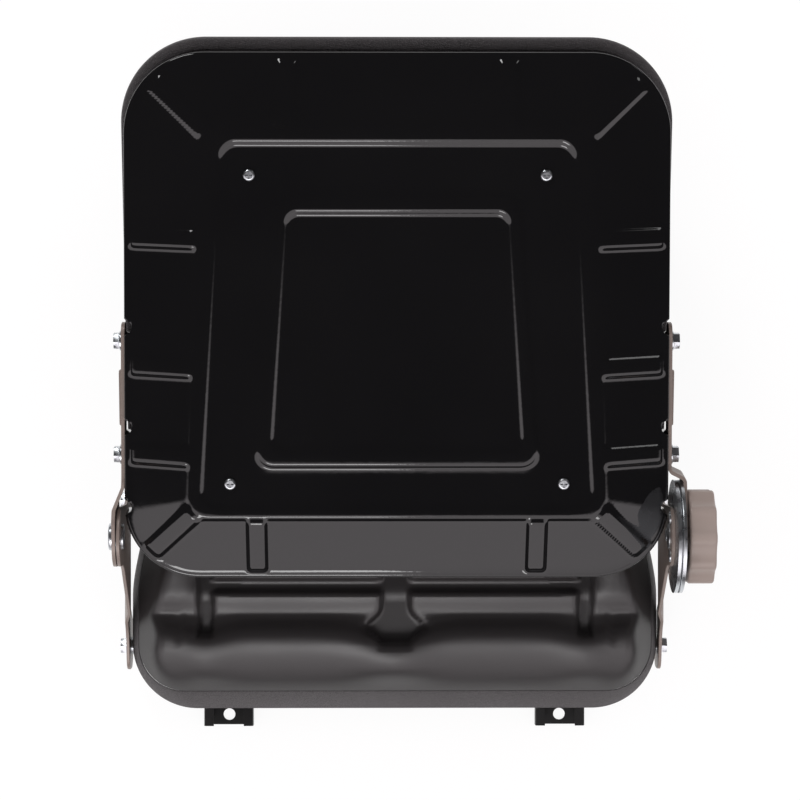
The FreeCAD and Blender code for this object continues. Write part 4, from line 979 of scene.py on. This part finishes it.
materials = {
    "gloss_black_paint": glossBlackPaint(),
    "black_paint": satinBlackPaint(),
    "taupe_paint": taupePaint(),
    "zinc_steel": bareSteel("zinc_steel", (0.5, 0.53, 0.56), (0.68, 0.7, 0.72), (0.24, 0.38)),
    "bearing_steel": bareSteel("bearing_steel", (0.6, 0.6, 0.61), (0.75, 0.75, 0.76), (0.08, 0.16)),
    "black_vinyl": vinyl("black_vinyl", (0.015, 0.0135, 0.0138), (0.022, 0.0203, 0.0205), (0.3, 0.38),
                         1500.0, 0.12, 0.0002),
    "grey_vinyl": vinyl("grey_vinyl", (0.035, 0.0325, 0.0335), (0.082, 0.077, 0.0795), (0.62, 0.76),
                        760.0, 0.8, 0.0005),
    "taupe_plastic": mouldedPlastic("taupe_plastic", (0.26, 0.21, 0.185), (0.3, 0.25, 0.22),
                                    (0.38, 0.5), 1600.0),
    "white_nylon": mouldedPlastic("white_nylon", (0.6, 0.59, 0.56), (0.72, 0.71, 0.68),
                                  (0.4, 0.5), 900.0),
    "black_rubber": mouldedPlastic("black_rubber", (0.012, 0.012, 0.012), (0.022, 0.022, 0.022),
                                   (0.6, 0.75), 700.0),
    "birch_board": birchBoard(),
}

finishes = {
    "black_paint": ("left_lower_rail", "right_lower_rail", "left_upper_rail", "right_upper_rail",
                    "seat_pan", "rear_lever_ear", "front_lever_ear", "lever_rod"),
    "taupe_paint": ("left_upper_bracket", "right_upper_bracket", "left_lower_bracket",
                    "right_lower_bracket"),
    "zinc_steel": ("back_bracket_bolts", "seat_bracket_bolts", "back_bolt_washers",
                   "seat_bolt_washers", "back_pan_screws", "board_tee_nuts", "back_weld_nuts",
                   "seat_weld_nuts", "slide_bolts", "slide_nuts", "left_pivot_pin",
                   "left_pivot_washer", "recliner_fixed_disc", "recliner_moving_disc",
                   "fixed_disc_rivets", "moving_disc_rivets", "recliner_shaft",
                   "front_bracket_spacers", "rear_bracket_spacers", "latch_plate", "latch_spring"),
    "bearing_steel": ("slide_balls", "slide_rollers"),
    "taupe_plastic": ("handwheel", "handwheel_cap"),
    "white_nylon": ("left_ball_cage", "right_ball_cage"),
    "black_rubber": ("lever_grip",),
    "birch_board": ("back_board",),
    "gloss_black_paint": ("back_pan",),
    "black_vinyl": ("seat_cushion", "back_cushion"),
    "grey_vinyl": ("seat_edge_band", "back_edge_band"),
}
finishOf = {node: finish for finish, nodes in finishes.items() for node in nodes}
bodyOf = {node: frame["nodes"][node]["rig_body"] for node in frame["nodes"]}


def dress(piece, finish):
    piece.data.materials.clear()
    piece.data.materials.append(materials[finish])


for node, part in frame["nodes"].items():
    dress(part, finishOf[node])
print("materials made")


def standFor(piece, node):
    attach(piece, bodyOf[node])
    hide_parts(node)
    dress(piece, finishOf[node])
    return piece


standFor(makeBackPan(), "back_pan")
standFor(makeSeatCushion(), "seat_cushion")
standFor(makeBackCushion(), "back_cushion")
standFor(makeSeatBand(), "seat_edge_band")
standFor(makeBackBand(), "back_edge_band")
for node, width in softEdges.items():
    standFor(softened(node, width), node)
print("rigid parts rounded")

# Floor, light and camera

studio = {
    "floorSize": 9.0,
    "floorColour": (0.8, 0.79, 0.79),
    "floorRoughness": 0.9,
    "floorGlow": 0.86,  # share of the floor's own white towards the camera and in reflections
    "floorWhite": 1.04,
    "floorEdge": (0.55, 1.0),  # the floor's white fades out of reflections between these distances
    "skyTint": (1.0, 0.94, 0.965),
    "skyBase": 0.05,
    "ambient": 0.9,  # the room's light on matt surfaces
    # a bright wall stands behind the seat: its lean, where it starts and is full, and its foot
    "wallLean": 0.364,
    "wallEdge": (-0.09, -0.17),
    "wallFoot": (0.16, 0.22),
    "wallWhite": 1.7,
    "lamps": (
        # name, direction from the seat, distance, size, brightness
        ("leftLamp", (-0.36, 0.78, 0.51), 3.0, (0.8, 0.8), 11.0),
        ("rightLamp", (0.64, 0.64, 0.42), 3.0, (0.45, 0.45), 3.0),
        ("rearLamp", (-0.12, -0.7, 0.7), 3.0, (0.8, 0.6), 9.0),
    ),
    "target": (0.003, 0.0909, 0.19),
    "cameraPlace": (-0.0276, 0.104, 2.635),
    "lens": 126.0,
    "sensor": 36.0,
    "farthest": 50.0,
}


def makeFloor():
    # white where the camera and reflections see it, and an ordinary floor for the light on the seat
    mesh = bmesh.new()
    bmesh.ops.create_grid(mesh, x_segments=1, y_segments=1, size=studio["floorSize"])
    floor = objectFrom("floor", mesh)
    material, tree, shader = newMaterial("floor")
    shader.inputs["Roughness"].default_value = studio["floorRoughness"]
    shader.inputs["Base Color"].default_value = (*studio["floorColour"], 1)
    path = add(tree, "ShaderNodeLightPath")
    mirrored = add(tree, "ShaderNodeMath",
                   {0: path.outputs["Is Camera Ray"], 1: path.outputs["Is Glossy Ray"]},
                   operation="MAXIMUM")
    seen = add(tree, "ShaderNodeMath",
               {0: mirrored.outputs[0], 1: path.outputs["Is Transmission Ray"]}, operation="MAXIMUM")
    place = add(tree, "ShaderNodeTexCoord")
    away = add(tree, "ShaderNodeVectorMath", {0: place.outputs["Object"]}, operation="LENGTH")
    edgeStart, edgeEnd = studio["floorEdge"]
    near = add(tree, "ShaderNodeMapRange",
               {"Value": away.outputs["Value"], "From Min": edgeEnd, "From Max": edgeStart},
               interpolation_type="SMOOTHSTEP")
    white = add(tree, "ShaderNodeMath",
                {0: near.outputs[0], 1: path.outputs["Is Camera Ray"]}, operation="MAXIMUM")
    glow = add(tree, "ShaderNodeEmission",
               {"Color": white.outputs[0], "Strength": studio["floorWhite"]})
    share = add(tree, "ShaderNodeMath",
                {0: seen.outputs[0], 1: studio["floorGlow"]}, operation="MULTIPLY")
    mix = add(tree, "ShaderNodeMixShader",
              {0: share.outputs[0], 1: shader.outputs[0], 2: glow.outputs[0]})
    tree.links.new(mix.outputs[0], tree.nodes["Material Output"].inputs["Surface"])
    floor.data.materials.append(material)


def makeSky():
    # dark overhead and in front, a bright wall behind the seat that stops above the horizon
    world = bpy.data.worlds.new("studio")
    bpy.context.scene.world = world
    world.use_nodes = True
    tree = world.node_tree
    background = tree.nodes["Background"]
    place = add(tree, "ShaderNodeTexCoord")
    parts = add(tree, "ShaderNodeSeparateXYZ", {0: place.outputs["Generated"]})
    lean = add(tree, "ShaderNodeMath",
               {0: parts.outputs["Z"], 1: studio["wallLean"], 2: parts.outputs["Y"]},
               operation="MULTIPLY_ADD")
    wallStart, wallFull = studio["wallEdge"]
    wall = add(tree, "ShaderNodeMapRange",
               {"Value": lean.outputs[0], "From Min": wallStart, "From Max": wallFull,
                "To Min": 0.0, "To Max": studio["wallWhite"]}, interpolation_type="SMOOTHSTEP")
    footStart, footFull = studio["wallFoot"]
    foot = add(tree, "ShaderNodeMapRange",
               {"Value": parts.outputs["Z"], "From Min": footStart, "From Max": footFull},
               interpolation_type="SMOOTHSTEP")
    lit = add(tree, "ShaderNodeMath", {0: foot.outputs["Result"], 1: wall.outputs["Result"]},
              operation="MULTIPLY")
    total = add(tree, "ShaderNodeMath", {0: lit.outputs[0], 1: studio["skyBase"]}, operation="ADD")
    path = add(tree, "ShaderNodeLightPath")
    room = add(tree, "ShaderNodeMix",
               {"Factor": path.outputs["Is Diffuse Ray"], "A": total.outputs[0],
                "B": studio["ambient"]},
               data_type="FLOAT")
    strength = add(tree, "ShaderNodeMix",
                   {"Factor": path.outputs["Is Camera Ray"], "A": room.outputs[0], "B": 1.0},
                   data_type="FLOAT")
    colour = add(tree, "ShaderNodeMix", {"Factor": path.outputs["Is Camera Ray"]}, data_type="RGBA")
    colour.inputs["A"].default_value = (*studio["skyTint"], 1)
    colour.inputs["B"].default_value = (1, 1, 1, 1)
    tree.links.new(colour.outputs["Result"], background.inputs["Color"])
    tree.links.new(strength.outputs["Result"], background.inputs["Strength"])


def makeLamps():
    target = Vector(studio["target"])
    for name, way, distance, size, brightness in studio["lamps"]:
        data = bpy.data.lights.new(name, "AREA")
        data.shape = "RECTANGLE"
        data.size, data.size_y = size
        data.energy = brightness * math.pi * size[0] * size[1]
        lamp = bpy.data.objects.new(name, data)
        bpy.context.scene.collection.objects.link(lamp)
        lamp.location = target + Vector(way).normalized() * distance
        lamp.rotation_euler = (target - lamp.location).to_track_quat("-Z", "Y").to_euler()
        lamp.visible_camera = False


def makeCamera():
    data = bpy.data.cameras.new("camera")
    data.lens = studio["lens"]
    data.sensor_width = studio["sensor"]
    data.clip_end = studio["farthest"]
    camera = bpy.data.objects.new("camera", data)
    bpy.context.scene.collection.objects.link(camera)
    place = Vector(studio["cameraPlace"])
    back = (place - Vector(studio["target"])).normalized()
    up = (Vector((0, 1, 0)) - back * back.y).normalized()
    right = up.cross(back)
    turn = Matrix((right, up, back)).transposed()
    camera.matrix_world = Matrix.Translation(place) @ turn.to_4x4()
    bpy.context.scene.camera = camera


makeFloor()
makeSky()
makeLamps()
makeCamera()
bpy.context.scene.view_settings.view_transform = "Standard"
print("studio ready")
